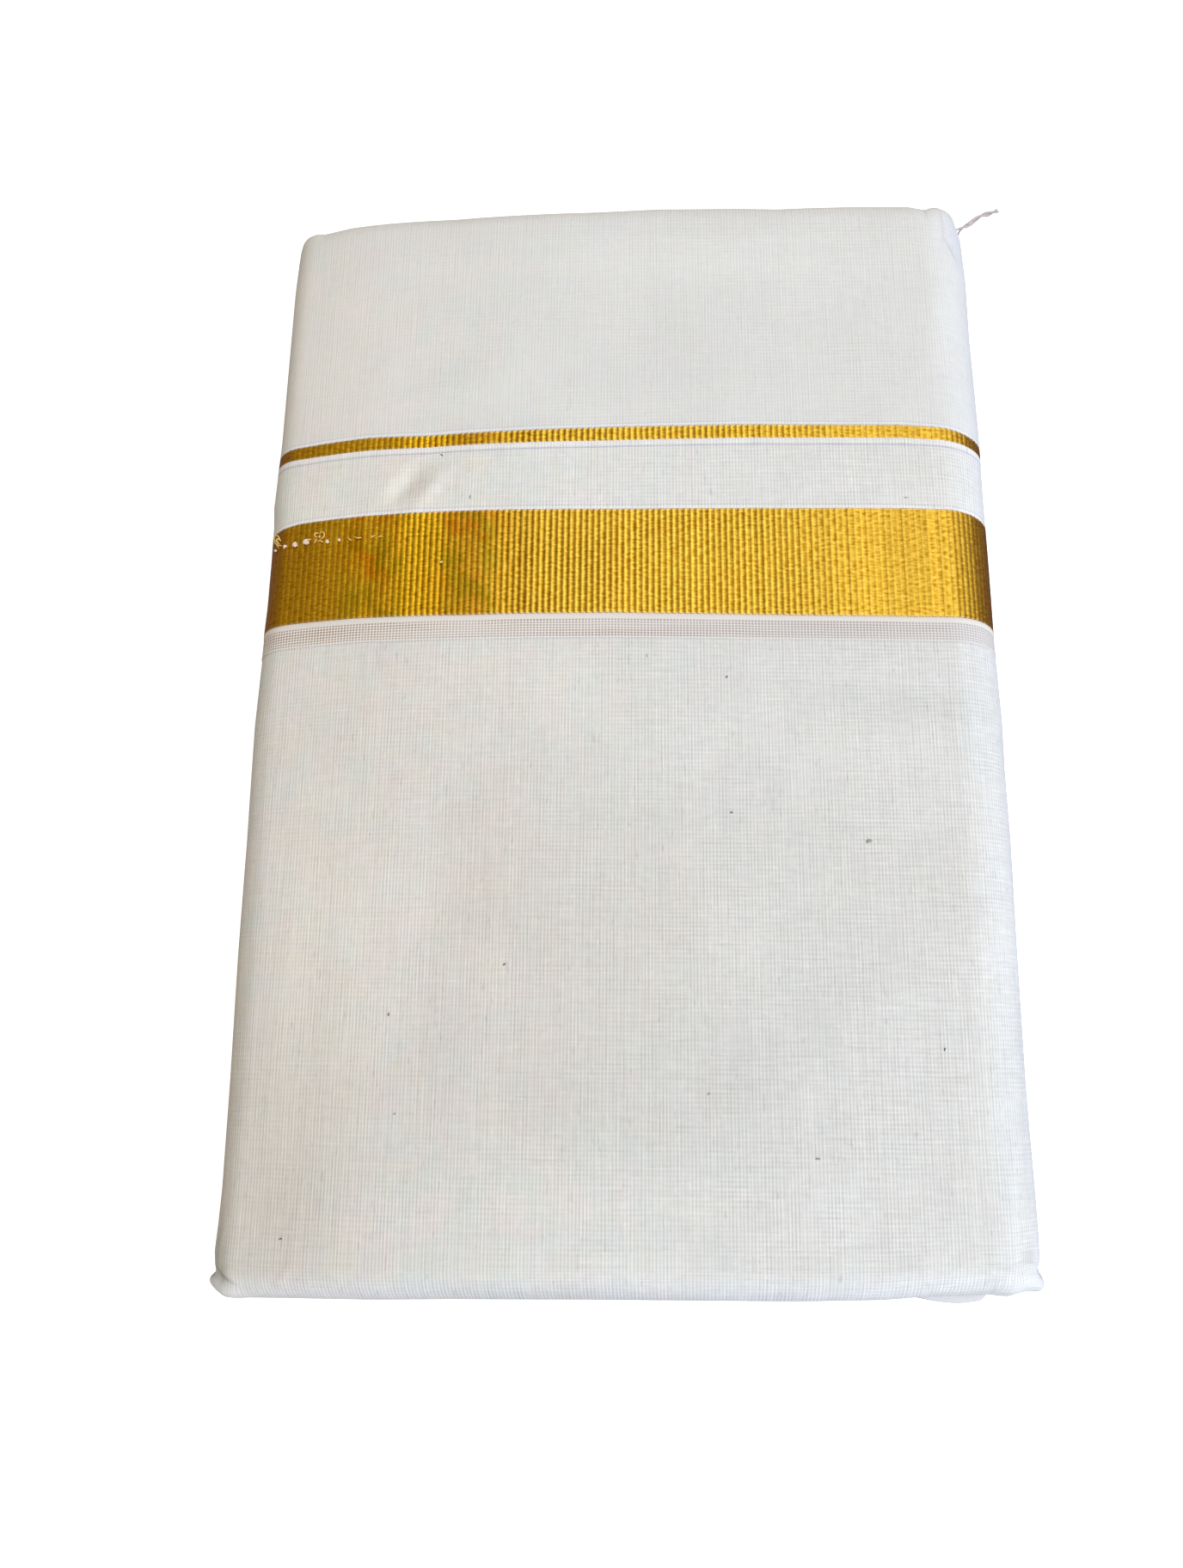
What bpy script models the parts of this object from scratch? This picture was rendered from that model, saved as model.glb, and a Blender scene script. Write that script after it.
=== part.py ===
"""A folded cotton dhoti with gold woven borders, lying flat as a pack.

The cloth is one woven length. It is folded across its width into four plies, and the strip that
this makes is rolled flat, so that its last turn wraps the pack. The borders of the uppermost ply
run across the pack and round both of its side folds.

Metres. X runs across the pack, +Y along it to its far fold, +Z up. The origin is the middle of
the flat underside.
"""
import math
from collections import namedtuple

import bmesh
import bpy

# Driving dimensions
PACK_WIDTH = 0.250
PACK_LENGTH = 0.375
LEFT_FOLD_RADIUS = 0.0135
RIGHT_FOLD_RADIUS = 0.0200
CROWN_HEIGHT = 0.0392
CROWN_X = -0.005
LEFT_FOLD_SWEEP = math.radians(162)
SIDE_BOW = 0.0012

# Cloth of the last turn, eight thin plies lying together, and the gap that parts the pieces
WALL = 0.0020
GAP = 0.0003
BODY_INSET = 0.0004
STRIP_INSET = 0.0003
FLAP_INSET = 0.0001

# Lines across the upper ply, as Y
SELVEDGE_Y = 0.0163
WIDE_BAND_Y = 0.0249
WIDE_BAND_END_Y = 0.0626
THIN_BAND_Y = 0.0883
THIN_BAND_END_Y = 0.0933

# Warp ribs of the gold bands
RIB_PITCH = 0.00212
RIB_HEIGHT = 0.00035

# Rounding of the two ends, over which the last turn curls down
END_ROUNDING = 0.011
TOP_DROP_SHARE = 0.58
UNDER_DROP_SHARE = 0.24
SIDE_DROP = 0.0026
TOP_EXPONENT = 2.0
SIDE_EXPONENT = 5.0
UNDER_EXPONENT = 4.0

# Facets of a plain section: over the top and the underside alike, and round each side fold
PLAIN_FACETS = 20
RIGHT_FACETS = 9
LEFT_FACETS = 8
BAND_UNDER_FACETS = 12

# Loose yarn end at the far right corner
YARN_DIAMETER = 0.0013
YARN_ROOT_FROM_END = 0.0054
YARN_ROOT_Z = 0.0280
YARN_STAND_OFF = 0.0006

NEAR_END = -PACK_LENGTH / 2
FAR_END = PACK_LENGTH / 2
RIGHT_CENTRE_X = PACK_WIDTH / 2 - RIGHT_FOLD_RADIUS
LEFT_CENTRE_X = -PACK_WIDTH / 2 + LEFT_FOLD_RADIUS

# Distances from an end at which the last turn has a row of points, outside and inside
OUTER_STEPS = (0.011, 0.0078, 0.0048, 0.0028, 0.0012, 0.0003, 0.0)
INNER_STEPS = (0.011, 0.0050, 0.0015, 0.0)

# Soft hollows and swellings of the top, in its own plane
# name, x, y, half length, half width, turn in degrees, height
Relief = namedtuple("Relief", "name x y half_length half_width turn height")
RELIEFS = (
    Relief("trough beside the right fold", 0.086, -0.004, 0.040, 0.012, 2, -0.0007),
    Relief("slanting trough", -0.056, -0.062, 0.047, 0.016, 78, -0.0008),
    Relief("crescent dent", -0.072, 0.078, 0.010, 0.006, 10, -0.0006),
    Relief("swelling above the bands", -0.051, 0.112, 0.024, 0.016, 20, 0.0006),
    Relief("hollow at the near left", -0.102, -0.154, 0.024, 0.018, 30, -0.0007),
    Relief("hollow at the right", 0.095, -0.051, 0.022, 0.018, 60, -0.0005),
    Relief("hollow at the near end", 0.031, -0.126, 0.040, 0.016, 5, -0.0005),
)

# How far each side fold stands out near the ends, with the pinched notch and the ear beside it
# distance from the end, left, right
SideStep = namedtuple("SideStep", "distance left right")
NEAR_SIDE_STEPS = (
    SideStep(0.0000, -0.0012, 0.0002),
    SideStep(0.0012, 0.0004, 0.0012),
    SideStep(0.0048, 0.0016, 0.0018),
    SideStep(0.0078, -0.0004, -0.0005),
    SideStep(0.0110, 0.0000, 0.0000),
)
FAR_SIDE_STEPS = (
    SideStep(0.0000, -0.0006, -0.0014),
    SideStep(0.0048, -0.0001, -0.0012),
    SideStep(0.0110, 0.0000, 0.0000),
)

# How far each end falls back across the pack
# x, near end, far end
EndStep = namedtuple("EndStep", "x near far")
END_STEPS = (
    EndStep(-0.125, 0.0022, -0.0012),
    EndStep(-0.116, -0.0014, 0.0020),
    EndStep(-0.100, -0.0010, 0.0012),
    EndStep(-0.075, -0.0008, 0.0023),
    EndStep(-0.050, -0.0003, 0.0020),
    EndStep(-0.012, 0.0002, 0.0008),
    EndStep(0.012, 0.0004, -0.0005),
    EndStep(0.050, 0.0007, -0.0009),
    EndStep(0.076, 0.0015, -0.0010),
    EndStep(0.090, 0.0026, -0.0012),
    EndStep(0.102, 0.0031, -0.0010),
    EndStep(0.110, 0.0031, -0.0002),
    EndStep(0.125, 0.0038, 0.0010),
)
END_STEP_REACH = 0.025
END_STEP_FULL = 0.006

# Folded edges of the hidden turns, seen inside the mouth of the last one
# fall of its crest behind the end, near and far
HiddenTurn = namedtuple("HiddenTurn", "near far")
HIDDEN_TURNS = (
    HiddenTurn(0.0006, 0.0010),
    HiddenTurn(0.0014, 0.0004),
    HiddenTurn(0.0004, 0.0015),
)
HIDDEN_GROOVE = 0.0032
HIDDEN_WAVE = 0.0004
HIDDEN_WAVE_LENGTH = 0.071

# The hidden ply that looks out under the near edge, close to its right corner
PEEK_FROM_X = 0.076
PEEK_TO_X = 0.112
PEEK_DEPTH = 0.0022

# Loose yarn's centre line from its root, along X, Y and Z
# out, along, down
YarnStep = namedtuple("YarnStep", "out along down")
YARN_STEPS = (
    YarnStep(0.0000, 0.0000, 0.0000),
    YarnStep(0.0018, 0.0016, 0.0000),
    YarnStep(0.0043, 0.0032, 0.0001),
    YarnStep(0.0081, 0.0065, 0.0005),
    YarnStep(0.0105, 0.0082, 0.0010),
    YarnStep(0.0126, 0.0092, 0.0015),
    YarnStep(0.0147, 0.0103, 0.0020),
    YarnStep(0.0167, 0.0115, 0.0025),
)

# Linear colours
WHITE_CLOTH = (0.70, 0.70, 0.67, 1.0)
SHEER_CLOTH = (0.58, 0.52, 0.49, 1.0)
GOLD_CLOTH = (0.64, 0.37, 0.05, 1.0)

Column = namedtuple("Column", "x z spine_x spine_z facing crest")


def mix(a, b, share):
    """The value that lies this share of the way from a to b."""
    return a + (b - a) * share


def smooth(share):
    """A share from 0 to 1 with level ends."""
    share = min(1.0, max(0.0, share))
    return share * share * (3.0 - 2.0 * share)


def between(steps, key, value, wanted):
    """One column of a table, read between its rows."""
    first = steps[0]
    if wanted <= getattr(first, key):
        return getattr(first, value)
    for lower, upper in zip(steps, steps[1:]):
        low, high = getattr(lower, key), getattr(upper, key)
        if wanted <= high:
            return mix(getattr(lower, value), getattr(upper, value), (wanted - low) / (high - low))
    return getattr(steps[-1], value)


def top_start():
    """The point where the left fold's arc passes into the top, and the slope there."""
    turn = LEFT_FOLD_SWEEP - math.pi / 2
    x = LEFT_CENTRE_X - LEFT_FOLD_RADIUS * math.cos(turn)
    z = LEFT_FOLD_RADIUS + LEFT_FOLD_RADIUS * math.sin(turn)
    return x, z, 1.0 / math.tan(turn)


def top_height(x):
    """Height of the top: steep beside the left fold, then nearly level to the right fold."""
    if x >= CROWN_X:
        share = smooth((x - CROWN_X) / (RIGHT_CENTRE_X - CROWN_X))
        return mix(CROWN_HEIGHT, 2 * RIGHT_FOLD_RADIUS, share)
    start_x, start_z, slope = top_start()
    span = CROWN_X - start_x
    share = max(0.0, (x - start_x) / span)
    climb = share * (1.0 - share) ** 2
    return mix(start_z, CROWN_HEIGHT, smooth(share)) + slope * span * climb


def section_columns(top_facets, right_facets, left_facets, under_facets):
    """Points round the pack's section, each with the point of its middle line that it faces."""
    columns = []
    crest = True
    for step in range(right_facets):
        turn = -math.pi / 2 + math.pi * step / right_facets
        x = RIGHT_CENTRE_X + RIGHT_FOLD_RADIUS * math.cos(turn)
        z = RIGHT_FOLD_RADIUS + RIGHT_FOLD_RADIUS * math.sin(turn)
        columns.append(Column(x, z, RIGHT_CENTRE_X, RIGHT_FOLD_RADIUS, math.sin(turn), crest))
        crest = not crest
    start_x = top_start()[0]
    for step in range(top_facets):
        share = step / top_facets
        x = mix(RIGHT_CENTRE_X, start_x, share)
        spine_x = mix(RIGHT_CENTRE_X, LEFT_CENTRE_X, share)
        spine_z = mix(RIGHT_FOLD_RADIUS, LEFT_FOLD_RADIUS, share)
        columns.append(Column(x, top_height(x), spine_x, spine_z, 1.0, crest))
        crest = not crest
    for step in range(left_facets):
        turn = LEFT_FOLD_SWEEP * (1.0 - step / left_facets) - math.pi / 2
        x = LEFT_CENTRE_X - LEFT_FOLD_RADIUS * math.cos(turn)
        z = LEFT_FOLD_RADIUS + LEFT_FOLD_RADIUS * math.sin(turn)
        columns.append(Column(x, z, LEFT_CENTRE_X, LEFT_FOLD_RADIUS, math.sin(turn), crest))
        crest = not crest
    for step in range(under_facets):
        share = step / under_facets
        x = mix(LEFT_CENTRE_X, RIGHT_CENTRE_X, share)
        spine_z = mix(LEFT_FOLD_RADIUS, RIGHT_FOLD_RADIUS, share)
        columns.append(Column(x, 0.0, x, spine_z, -1.0, True))
    return columns


def plain_columns():
    """The coarse section that the white cloth and the core share."""
    return section_columns(PLAIN_FACETS, RIGHT_FACETS, LEFT_FACETS, PLAIN_FACETS)


def ribbed_columns():
    """The fine section of a gold band: two points for each warp rib that shows."""
    rib_step = RIB_PITCH / 2
    top = round((RIGHT_CENTRE_X - top_start()[0]) / rib_step)
    right = round(math.pi * RIGHT_FOLD_RADIUS / rib_step)
    left = round(LEFT_FOLD_SWEEP * LEFT_FOLD_RADIUS / rib_step)
    return section_columns(top, right, left, BAND_UNDER_FACETS)


def half_depth(column):
    """Distance from a column's point to the pack's middle line."""
    return math.hypot(column.x - column.spine_x, column.z - column.spine_z)


def by_facing(facing, top, side, under):
    """A value that turns from one side of the pack to the next."""
    if facing > 0:
        return mix(side, top, facing ** 1.5)
    return mix(side, under, (-facing) ** 1.5)


def end_drop(column):
    """How far the last turn curls in at the pack's ends."""
    half = half_depth(column)
    return by_facing(column.facing, TOP_DROP_SHARE * half, SIDE_DROP, UNDER_DROP_SHARE * half)


def end_curl(column, distance):
    """Share of the curl reached at a distance from the end, from none to whole."""
    exponent = by_facing(column.facing, TOP_EXPONENT, SIDE_EXPONENT, UNDER_EXPONENT)
    reach = max(0.0, 1.0 - distance / END_ROUNDING)
    return 1.0 - (1.0 - reach ** exponent) ** (1.0 / exponent)


def soft_relief(x, y):
    """Height of the top's soft hollows and swellings."""
    height = 0.0
    for form in RELIEFS:
        turn = math.radians(form.turn)
        along = (x - form.x) * math.cos(turn) + (y - form.y) * math.sin(turn)
        across = (y - form.y) * math.cos(turn) - (x - form.x) * math.sin(turn)
        spread = (along / form.half_length) ** 2 + (across / form.half_width) ** 2
        height += form.height * math.exp(-2.0 * spread)
    return height


def side_bow(y):
    """How far both side folds bow out, most in the middle of the pack."""
    return SIDE_BOW * math.sin(math.pi * (y - NEAR_END) / PACK_LENGTH)


def side_swell(x, y):
    """How far a side fold stands out at its notch and its ear."""
    side = "left" if x < 0 else "right"
    near = between(NEAR_SIDE_STEPS, "distance", side, y - NEAR_END)
    far = between(FAR_SIDE_STEPS, "distance", side, FAR_END - y)
    return math.copysign(near + far, x)


def end_fall(x, y):
    """How far a point near an end falls back towards the pack's middle."""
    side = "near" if y < 0 else "far"
    distance = PACK_LENGTH / 2 - abs(y)
    share = (END_STEP_REACH - distance) / (END_STEP_REACH - END_STEP_FULL)
    fall = between(END_STEPS, "x", side, x) * min(1.0, max(0.0, share))
    return fall if y < 0 else -fall


def shell_point(column, y, inset, form=0.0):
    """A point of the pack at a depth below its surface, with its share of the outer form."""
    share = inset / half_depth(column)
    x = mix(column.x, column.spine_x, share)
    z = mix(column.z, column.spine_z, share)
    x += side_bow(y) * x / (PACK_WIDTH / 2)
    z += form * soft_relief(x, y) * max(0.0, column.facing) ** 2
    x += form * side_swell(x, y) * math.sqrt(1.0 - column.facing ** 2)
    return x, y + end_fall(x, y), z


def lying_inset(column, inset):
    """An inset that fades away on the underside, where all the cloth lies on the floor."""
    return inset * (1.0 + column.facing) / 2


def end_row(columns, end, inset, distance, outer=False):
    """A row of points on the curl of the last turn, or a set depth inside it."""
    row = []
    for column in columns:
        depth = lying_inset(column, inset) if outer else inset
        curl = end_curl(column, distance)
        y_from_end = depth + distance * (END_ROUNDING - depth) / END_ROUNDING
        y = end - math.copysign(y_from_end, end)
        form = 1.0 - curl if outer else 0.0
        row.append(shell_point(column, y, mix(depth, end_drop(column), curl), form))
    return row


def level_row(columns, y, inset, outer=False, rib_height=0.0):
    """A row of points across the pack, away from its ends."""
    row = []
    for column in columns:
        depth = lying_inset(column, inset) if outer else inset
        if outer and not column.crest:
            depth += lying_inset(column, rib_height)
        row.append(shell_point(column, y, depth, float(outer)))
    return row


def loft(name, rows, material, ring=True):
    """One closed body through rows of points; a ring's last row meets its first."""
    mesh = bpy.data.meshes.new(name)
    shape = bmesh.new()
    vertex_rows = [[shape.verts.new(point) for point in row] for row in rows]
    pairs = list(zip(vertex_rows, vertex_rows[1:]))
    if ring:
        pairs.append((vertex_rows[-1], vertex_rows[0]))
    for first, second in pairs:
        for index in range(len(first)):
            after = (index + 1) % len(first)
            shape.faces.new((first[index], first[after], second[after], second[index]))
    bmesh.ops.remove_doubles(shape, verts=shape.verts, dist=1e-6)
    bmesh.ops.dissolve_degenerate(shape, edges=shape.edges, dist=1e-6)
    bmesh.ops.recalc_face_normals(shape, faces=shape.faces)
    shape.to_mesh(mesh)
    shape.free()
    mesh.shade_smooth()
    mesh.set_sharp_from_angle(angle=math.radians(40))
    return add_piece(name, mesh, material)


def add_piece(name, data, material):
    """Put a named piece with its material into the pack."""
    data.materials.append(material)
    piece = bpy.data.objects.new(name, data)
    pack.objects.link(piece)
    piece.parent = pack_origin
    return piece


def make_material(name, colour, roughness, metallic=0.0):
    """A plain finish for one kind of cloth."""
    material = bpy.data.materials.new(name)
    material.use_nodes = True
    shader = material.node_tree.nodes["Principled BSDF"]
    shader.inputs["Base Color"].default_value = colour
    shader.inputs["Roughness"].default_value = roughness
    shader.inputs["Metallic"].default_value = metallic
    material.diffuse_color = colour
    return material


def hidden_rows(columns, end, side):
    """Rows over one end of the hidden turns, from the last turn's wall to the middle line."""
    rows = []
    outward = math.copysign(1.0, end)
    count = len(HIDDEN_TURNS)
    for index, turn in enumerate(HIDDEN_TURNS):
        crest = getattr(turn, side)
        for part, fall in ((0.25, crest), (0.75, crest), (1.0, HIDDEN_GROOVE)):
            row = []
            for column in columns:
                rim = end_drop(column) + GAP
                inset = mix(rim, half_depth(column), (index + part) / count)
                wave = HIDDEN_WAVE * math.sin(math.tau * column.spine_x / HIDDEN_WAVE_LENGTH + index)
                y = end - outward * (fall + HIDDEN_WAVE + wave)
                if index == 0 and side == "near" and part < 1.0 and column.facing > 0:
                    y -= peek(column.spine_x)
                row.append(shell_point(column, y, inset))
            rows.append(row)
    return rows


def peek(x):
    """How far the hidden ply looks out under the near edge."""
    share = (x - PEEK_FROM_X) / (PEEK_TO_X - PEEK_FROM_X)
    if not 0.0 < share < 1.0:
        return 0.0
    return PEEK_DEPTH * math.sin(math.pi * share)


def end_rim(columns, end):
    """The row where the core leaves the last turn's curl, clear of its rim."""
    lip = WALL + GAP
    row = []
    for column in columns:
        y = end - math.copysign(lip, end)
        row.append(shell_point(column, y, end_drop(column) + GAP))
    return row


def build_core():
    """The hidden turns as one rounded body, with their folded edges at both ends."""
    columns = plain_columns()
    lip = WALL + GAP
    far_rows = [end_row(columns, FAR_END, lip, step) for step in INNER_STEPS[:-1]]
    far_rows.append(end_rim(columns, FAR_END))
    far_rows += hidden_rows(columns, FAR_END, "far")
    near_rows = [end_row(columns, NEAR_END, lip, step) for step in INNER_STEPS[:-1]]
    near_rows.append(end_rim(columns, NEAR_END))
    near_rows += hidden_rows(columns, NEAR_END, "near")
    rows = near_rows[::-1] + [level_row(columns, 0.0, lip)] + far_rows
    return loft("folded_core", rows, white, ring=False)


def build_body_ply():
    """The ply that shows below the selvedge, down to the near fold."""
    columns = plain_columns()
    seam = SELVEDGE_Y - GAP / 2
    levels = (seam, -0.020, -0.057, -0.094, -0.131, -0.161)
    rows = [level_row(columns, y, BODY_INSET, outer=True) for y in levels]
    rows += [end_row(columns, NEAR_END, BODY_INSET, step, outer=True) for step in OUTER_STEPS]
    rows += [end_row(columns, NEAR_END, WALL, step) for step in reversed(INNER_STEPS)]
    rows.append(level_row(columns, seam, WALL))
    return loft("body_ply", rows, white)


def build_flap_cloth():
    """The upper ply from the thin band to the far fold."""
    columns = plain_columns()
    seam = THIN_BAND_END_Y + GAP / 2
    levels = (seam, 0.112, 0.137, 0.161)
    rows = [level_row(columns, y, FLAP_INSET, outer=True) for y in levels]
    rows += [end_row(columns, FAR_END, FLAP_INSET, step, outer=True) for step in OUTER_STEPS]
    rows += [end_row(columns, FAR_END, WALL, step) for step in reversed(INNER_STEPS)]
    rows.append(level_row(columns, seam, WALL))
    return loft("flap_cloth", rows[::-1], white)


def build_strip(name, from_y, to_y, inset, material, columns, rows_across=2, rib_height=0.0):
    """A strip of the upper ply, all round the pack, between two lines across it."""
    first, last = from_y + GAP / 2, to_y - GAP / 2
    rows = []
    for step in range(rows_across):
        y = mix(first, last, step / (rows_across - 1))
        rows.append(level_row(columns, y, inset, outer=True, rib_height=rib_height))
    rows.append(level_row(columns, last, WALL))
    rows.append(level_row(columns, first, WALL))
    return loft(name, rows, material)


def build_loose_yarn():
    """The end of yarn that stands out from the right fold."""
    y = FAR_END - YARN_ROOT_FROM_END
    rise = YARN_ROOT_Z - RIGHT_FOLD_RADIUS
    side_x = RIGHT_CENTRE_X + math.sqrt(RIGHT_FOLD_RADIUS ** 2 - rise ** 2)
    root_x = side_x + side_swell(side_x, y) + side_bow(y) + YARN_STAND_OFF
    curve = bpy.data.curves.new("loose_yarn", "CURVE")
    curve.dimensions = "3D"
    curve.bevel_depth = YARN_DIAMETER / 2
    curve.bevel_resolution = 2
    curve.use_fill_caps = True
    spline = curve.splines.new("POLY")
    spline.points.add(len(YARN_STEPS) - 1)
    for point, step in zip(spline.points, YARN_STEPS):
        point.co = (root_x + step.out, y + step.along, YARN_ROOT_Z - step.down, 1.0)
    return add_piece("loose_yarn", curve, white)


for old in list(bpy.data.objects):
    bpy.data.objects.remove(old, do_unlink=True)

pack = bpy.data.collections.new("folded_dhoti")
bpy.context.scene.collection.children.link(pack)
pack_origin = bpy.data.objects.new("pack_origin", None)
pack.objects.link(pack_origin)

white = make_material("white_cotton", WHITE_CLOTH, 0.85)
sheer = make_material("sheer_cotton", SHEER_CLOTH, 0.85)
gold = make_material("gold_yarn", GOLD_CLOTH, 0.42, 0.75)

build_core()
build_body_ply()
build_strip("selvedge_strip", SELVEDGE_Y, WIDE_BAND_Y, STRIP_INSET, sheer, plain_columns())
build_strip("wide_gold_band", WIDE_BAND_Y, WIDE_BAND_END_Y, 0.0, gold, ribbed_columns(),
            rows_across=3, rib_height=RIB_HEIGHT)
build_strip("band_gap_cloth", WIDE_BAND_END_Y, THIN_BAND_Y, FLAP_INSET, white, plain_columns(),
            rows_across=3)
build_strip("thin_gold_band", THIN_BAND_Y, THIN_BAND_END_Y, 0.0, gold, ribbed_columns(),
            rib_height=RIB_HEIGHT)
build_flap_cloth()
build_loose_yarn()
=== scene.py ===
"""Looks of the folded cotton dhoti: its woven cloth, gold borders, fold edges and loose threads.

Metres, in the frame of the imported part: X across the pack, +Y to the far fold, +Z up.
"""
import math
from collections import namedtuple

import bpy
import numpy as np
from mathutils import Matrix, Vector


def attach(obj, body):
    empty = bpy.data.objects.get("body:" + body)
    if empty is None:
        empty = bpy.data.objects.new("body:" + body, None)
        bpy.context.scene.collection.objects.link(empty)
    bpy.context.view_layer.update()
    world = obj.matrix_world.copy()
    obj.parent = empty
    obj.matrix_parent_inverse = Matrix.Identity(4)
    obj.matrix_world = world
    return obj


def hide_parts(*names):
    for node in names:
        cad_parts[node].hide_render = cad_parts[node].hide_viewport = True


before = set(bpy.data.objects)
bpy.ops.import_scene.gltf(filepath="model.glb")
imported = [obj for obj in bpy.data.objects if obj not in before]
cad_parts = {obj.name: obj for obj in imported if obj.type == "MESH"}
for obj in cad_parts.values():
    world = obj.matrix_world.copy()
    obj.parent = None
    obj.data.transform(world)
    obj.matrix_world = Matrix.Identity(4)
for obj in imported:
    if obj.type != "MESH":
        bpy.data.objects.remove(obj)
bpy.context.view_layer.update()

MM = 0.001

# The pack's section and ends, as in the solids
PACK_WIDTH = 0.250
PACK_LENGTH = 0.375
LEFT_FOLD_RADIUS = 0.0135
RIGHT_FOLD_RADIUS = 0.0200
CROWN_HEIGHT = 0.0392
CROWN_X = -0.005
LEFT_FOLD_SWEEP = math.radians(162)
SIDE_BOW = 0.0012
END_ROUNDING = 0.011
TOP_DROP_SHARE = 0.58
UNDER_DROP_SHARE = 0.24
SIDE_DROP = 0.0026
TOP_EXPONENT = 2.0
SIDE_EXPONENT = 5.0
UNDER_EXPONENT = 4.0
WALL = 0.0020
GAP = 0.0003
NEAR_END = -PACK_LENGTH / 2
FAR_END = PACK_LENGTH / 2
RIGHT_CENTRE_X = PACK_WIDTH / 2 - RIGHT_FOLD_RADIUS
LEFT_CENTRE_X = -PACK_WIDTH / 2 + LEFT_FOLD_RADIUS

# Woven lines of the upper ply, as Y
SELVEDGE_Y = 0.0163
WIDE_LOW_Y = 0.0249
WIDE_HIGH_Y = 0.0626
THIN_LOW_Y = 0.0883
THIN_HIGH_Y = 0.0933
CORD_WIDTH = 0.0018
EDGING_WIDTH = 0.0009

# Depths of the cloths below the pack's surface
BODY_DEPTH = 0.00055
UPPER_DEPTH = 0.0001
TUCK = 0.0030

# Ribs of the gold borders
RIB_PITCH = 0.00200
RIB_HEIGHT = 0.00042
RIB_POINTS = 6

# Distance of the second row of points from the edge of a strip
EDGE_ROW = 0.00015

# Depths in an end's mouth at which the wall's inner face has a row of points
INSIDE_STEPS = (0.0, 0.0004, 0.0012, 0.0040, 0.011)

# Length of the cloth over an end's curl, as a share of the curl's own reach
CURL_STRETCH = 1.3

# Pitches of the visible threads
WARP_PITCH = 0.00106
WEFT_PITCH = 0.00138
GAUZE_PITCH = 0.00092

# How far a surface tilts between open light and the shade of a fold
TURNED_SPAN = 0.25

# Hidden turns of the folded strip, seen in the mouths of both ends
TURN_COUNT = 8

# How far each end falls back across the pack, in millimetres
EndStep = namedtuple("EndStep", "x back")
NEAR_END_STEPS = (
    EndStep(-0.1250, 0.7),
    EndStep(-0.1235, 0.2),
    EndStep(-0.1195, -1.5),
    EndStep(-0.1160, -1.8),
    EndStep(-0.1000, -1.4),
    EndStep(-0.0750, -1.1),
    EndStep(-0.0500, -0.4),
    EndStep(-0.0120, 0.1),
    EndStep(0.0120, 0.2),
    EndStep(0.0500, 0.4),
    EndStep(0.0760, 1.2),
    EndStep(0.0900, 2.4),
    EndStep(0.1020, 3.1),
    EndStep(0.1075, 3.1),
    EndStep(0.1120, 2.8),
    EndStep(0.1150, 3.6),
    EndStep(0.1175, 4.2),
    EndStep(0.1200, 4.1),
    EndStep(0.1235, 3.3),
    EndStep(0.1250, 3.0),
)
FAR_END_STEPS = (
    EndStep(-0.1250, 5.0),
    EndStep(-0.1226, 3.7),
    EndStep(-0.1160, 2.9),
    EndStep(-0.1095, 2.5),
    EndStep(-0.1017, 1.9),
    EndStep(-0.0887, 2.1),
    EndStep(-0.0626, 2.7),
    EndStep(-0.0495, 2.3),
    EndStep(-0.0120, 1.0),
    EndStep(0.0120, -0.3),
    EndStep(0.0417, -0.3),
    EndStep(0.0548, 0.0),
    EndStep(0.0678, -0.6),
    EndStep(0.0808, -1.0),
    EndStep(0.1020, -0.9),
    EndStep(0.1082, 0.4),
    EndStep(0.1120, -0.9),
    EndStep(0.1213, -0.9),
    EndStep(0.1239, -2.2),
    EndStep(0.1250, -2.6),
)
END_STEP_REACH = 0.025
END_STEP_FULL = 0.006

# How far each side fold stands out near the ends: distance from the end, left, right
SideStep = namedtuple("SideStep", "distance left right")
NEAR_SIDE_STEPS = (
    SideStep(0.0000, 0.0002, 0.0004),
    SideStep(0.0012, 0.0012, 0.0009),
    SideStep(0.0024, 0.0015, 0.0012),
    SideStep(0.0038, 0.0007, 0.0010),
    SideStep(0.0050, -0.0009, 0.0005),
    SideStep(0.0062, -0.0008, -0.0005),
    SideStep(0.0076, -0.0004, -0.0008),
    SideStep(0.0110, 0.0000, 0.0000),
)
FAR_SIDE_STEPS = (
    SideStep(0.0000, -0.0006, -0.0014),
    SideStep(0.0048, -0.0001, -0.0012),
    SideStep(0.0110, 0.0000, 0.0000),
)

# How far the side folds lie inward of their even bow: y, left, right, in millimetres
FoldLine = namedtuple("FoldLine", "y left right")
FOLD_LINES = (
    FoldLine(-0.176, -0.4, -0.2),
    FoldLine(-0.168, 0.1, -0.3),
    FoldLine(-0.158, 0.5, -0.2),
    FoldLine(-0.125, 0.5, 0.5),
    FoldLine(-0.086, 0.0, 0.3),
    FoldLine(-0.048, 0.0, -0.3),
    FoldLine(-0.024, -0.3, -0.1),
    FoldLine(-0.008, -0.5, -0.5),
    FoldLine(0.010, 0.0, -0.1),
    FoldLine(0.026, 0.4, 0.4),
    FoldLine(0.036, 0.8, 0.3),
    FoldLine(0.054, 0.8, 0.2),
    FoldLine(0.068, 0.6, 0.2),
    FoldLine(0.075, 0.0, 0.2),
    FoldLine(0.100, 0.8, -0.2),
    FoldLine(0.137, 0.7, 0.2),
    FoldLine(0.160, 0.6, -0.3),
    FoldLine(0.181, 1.1, 0.5),
)

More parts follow.
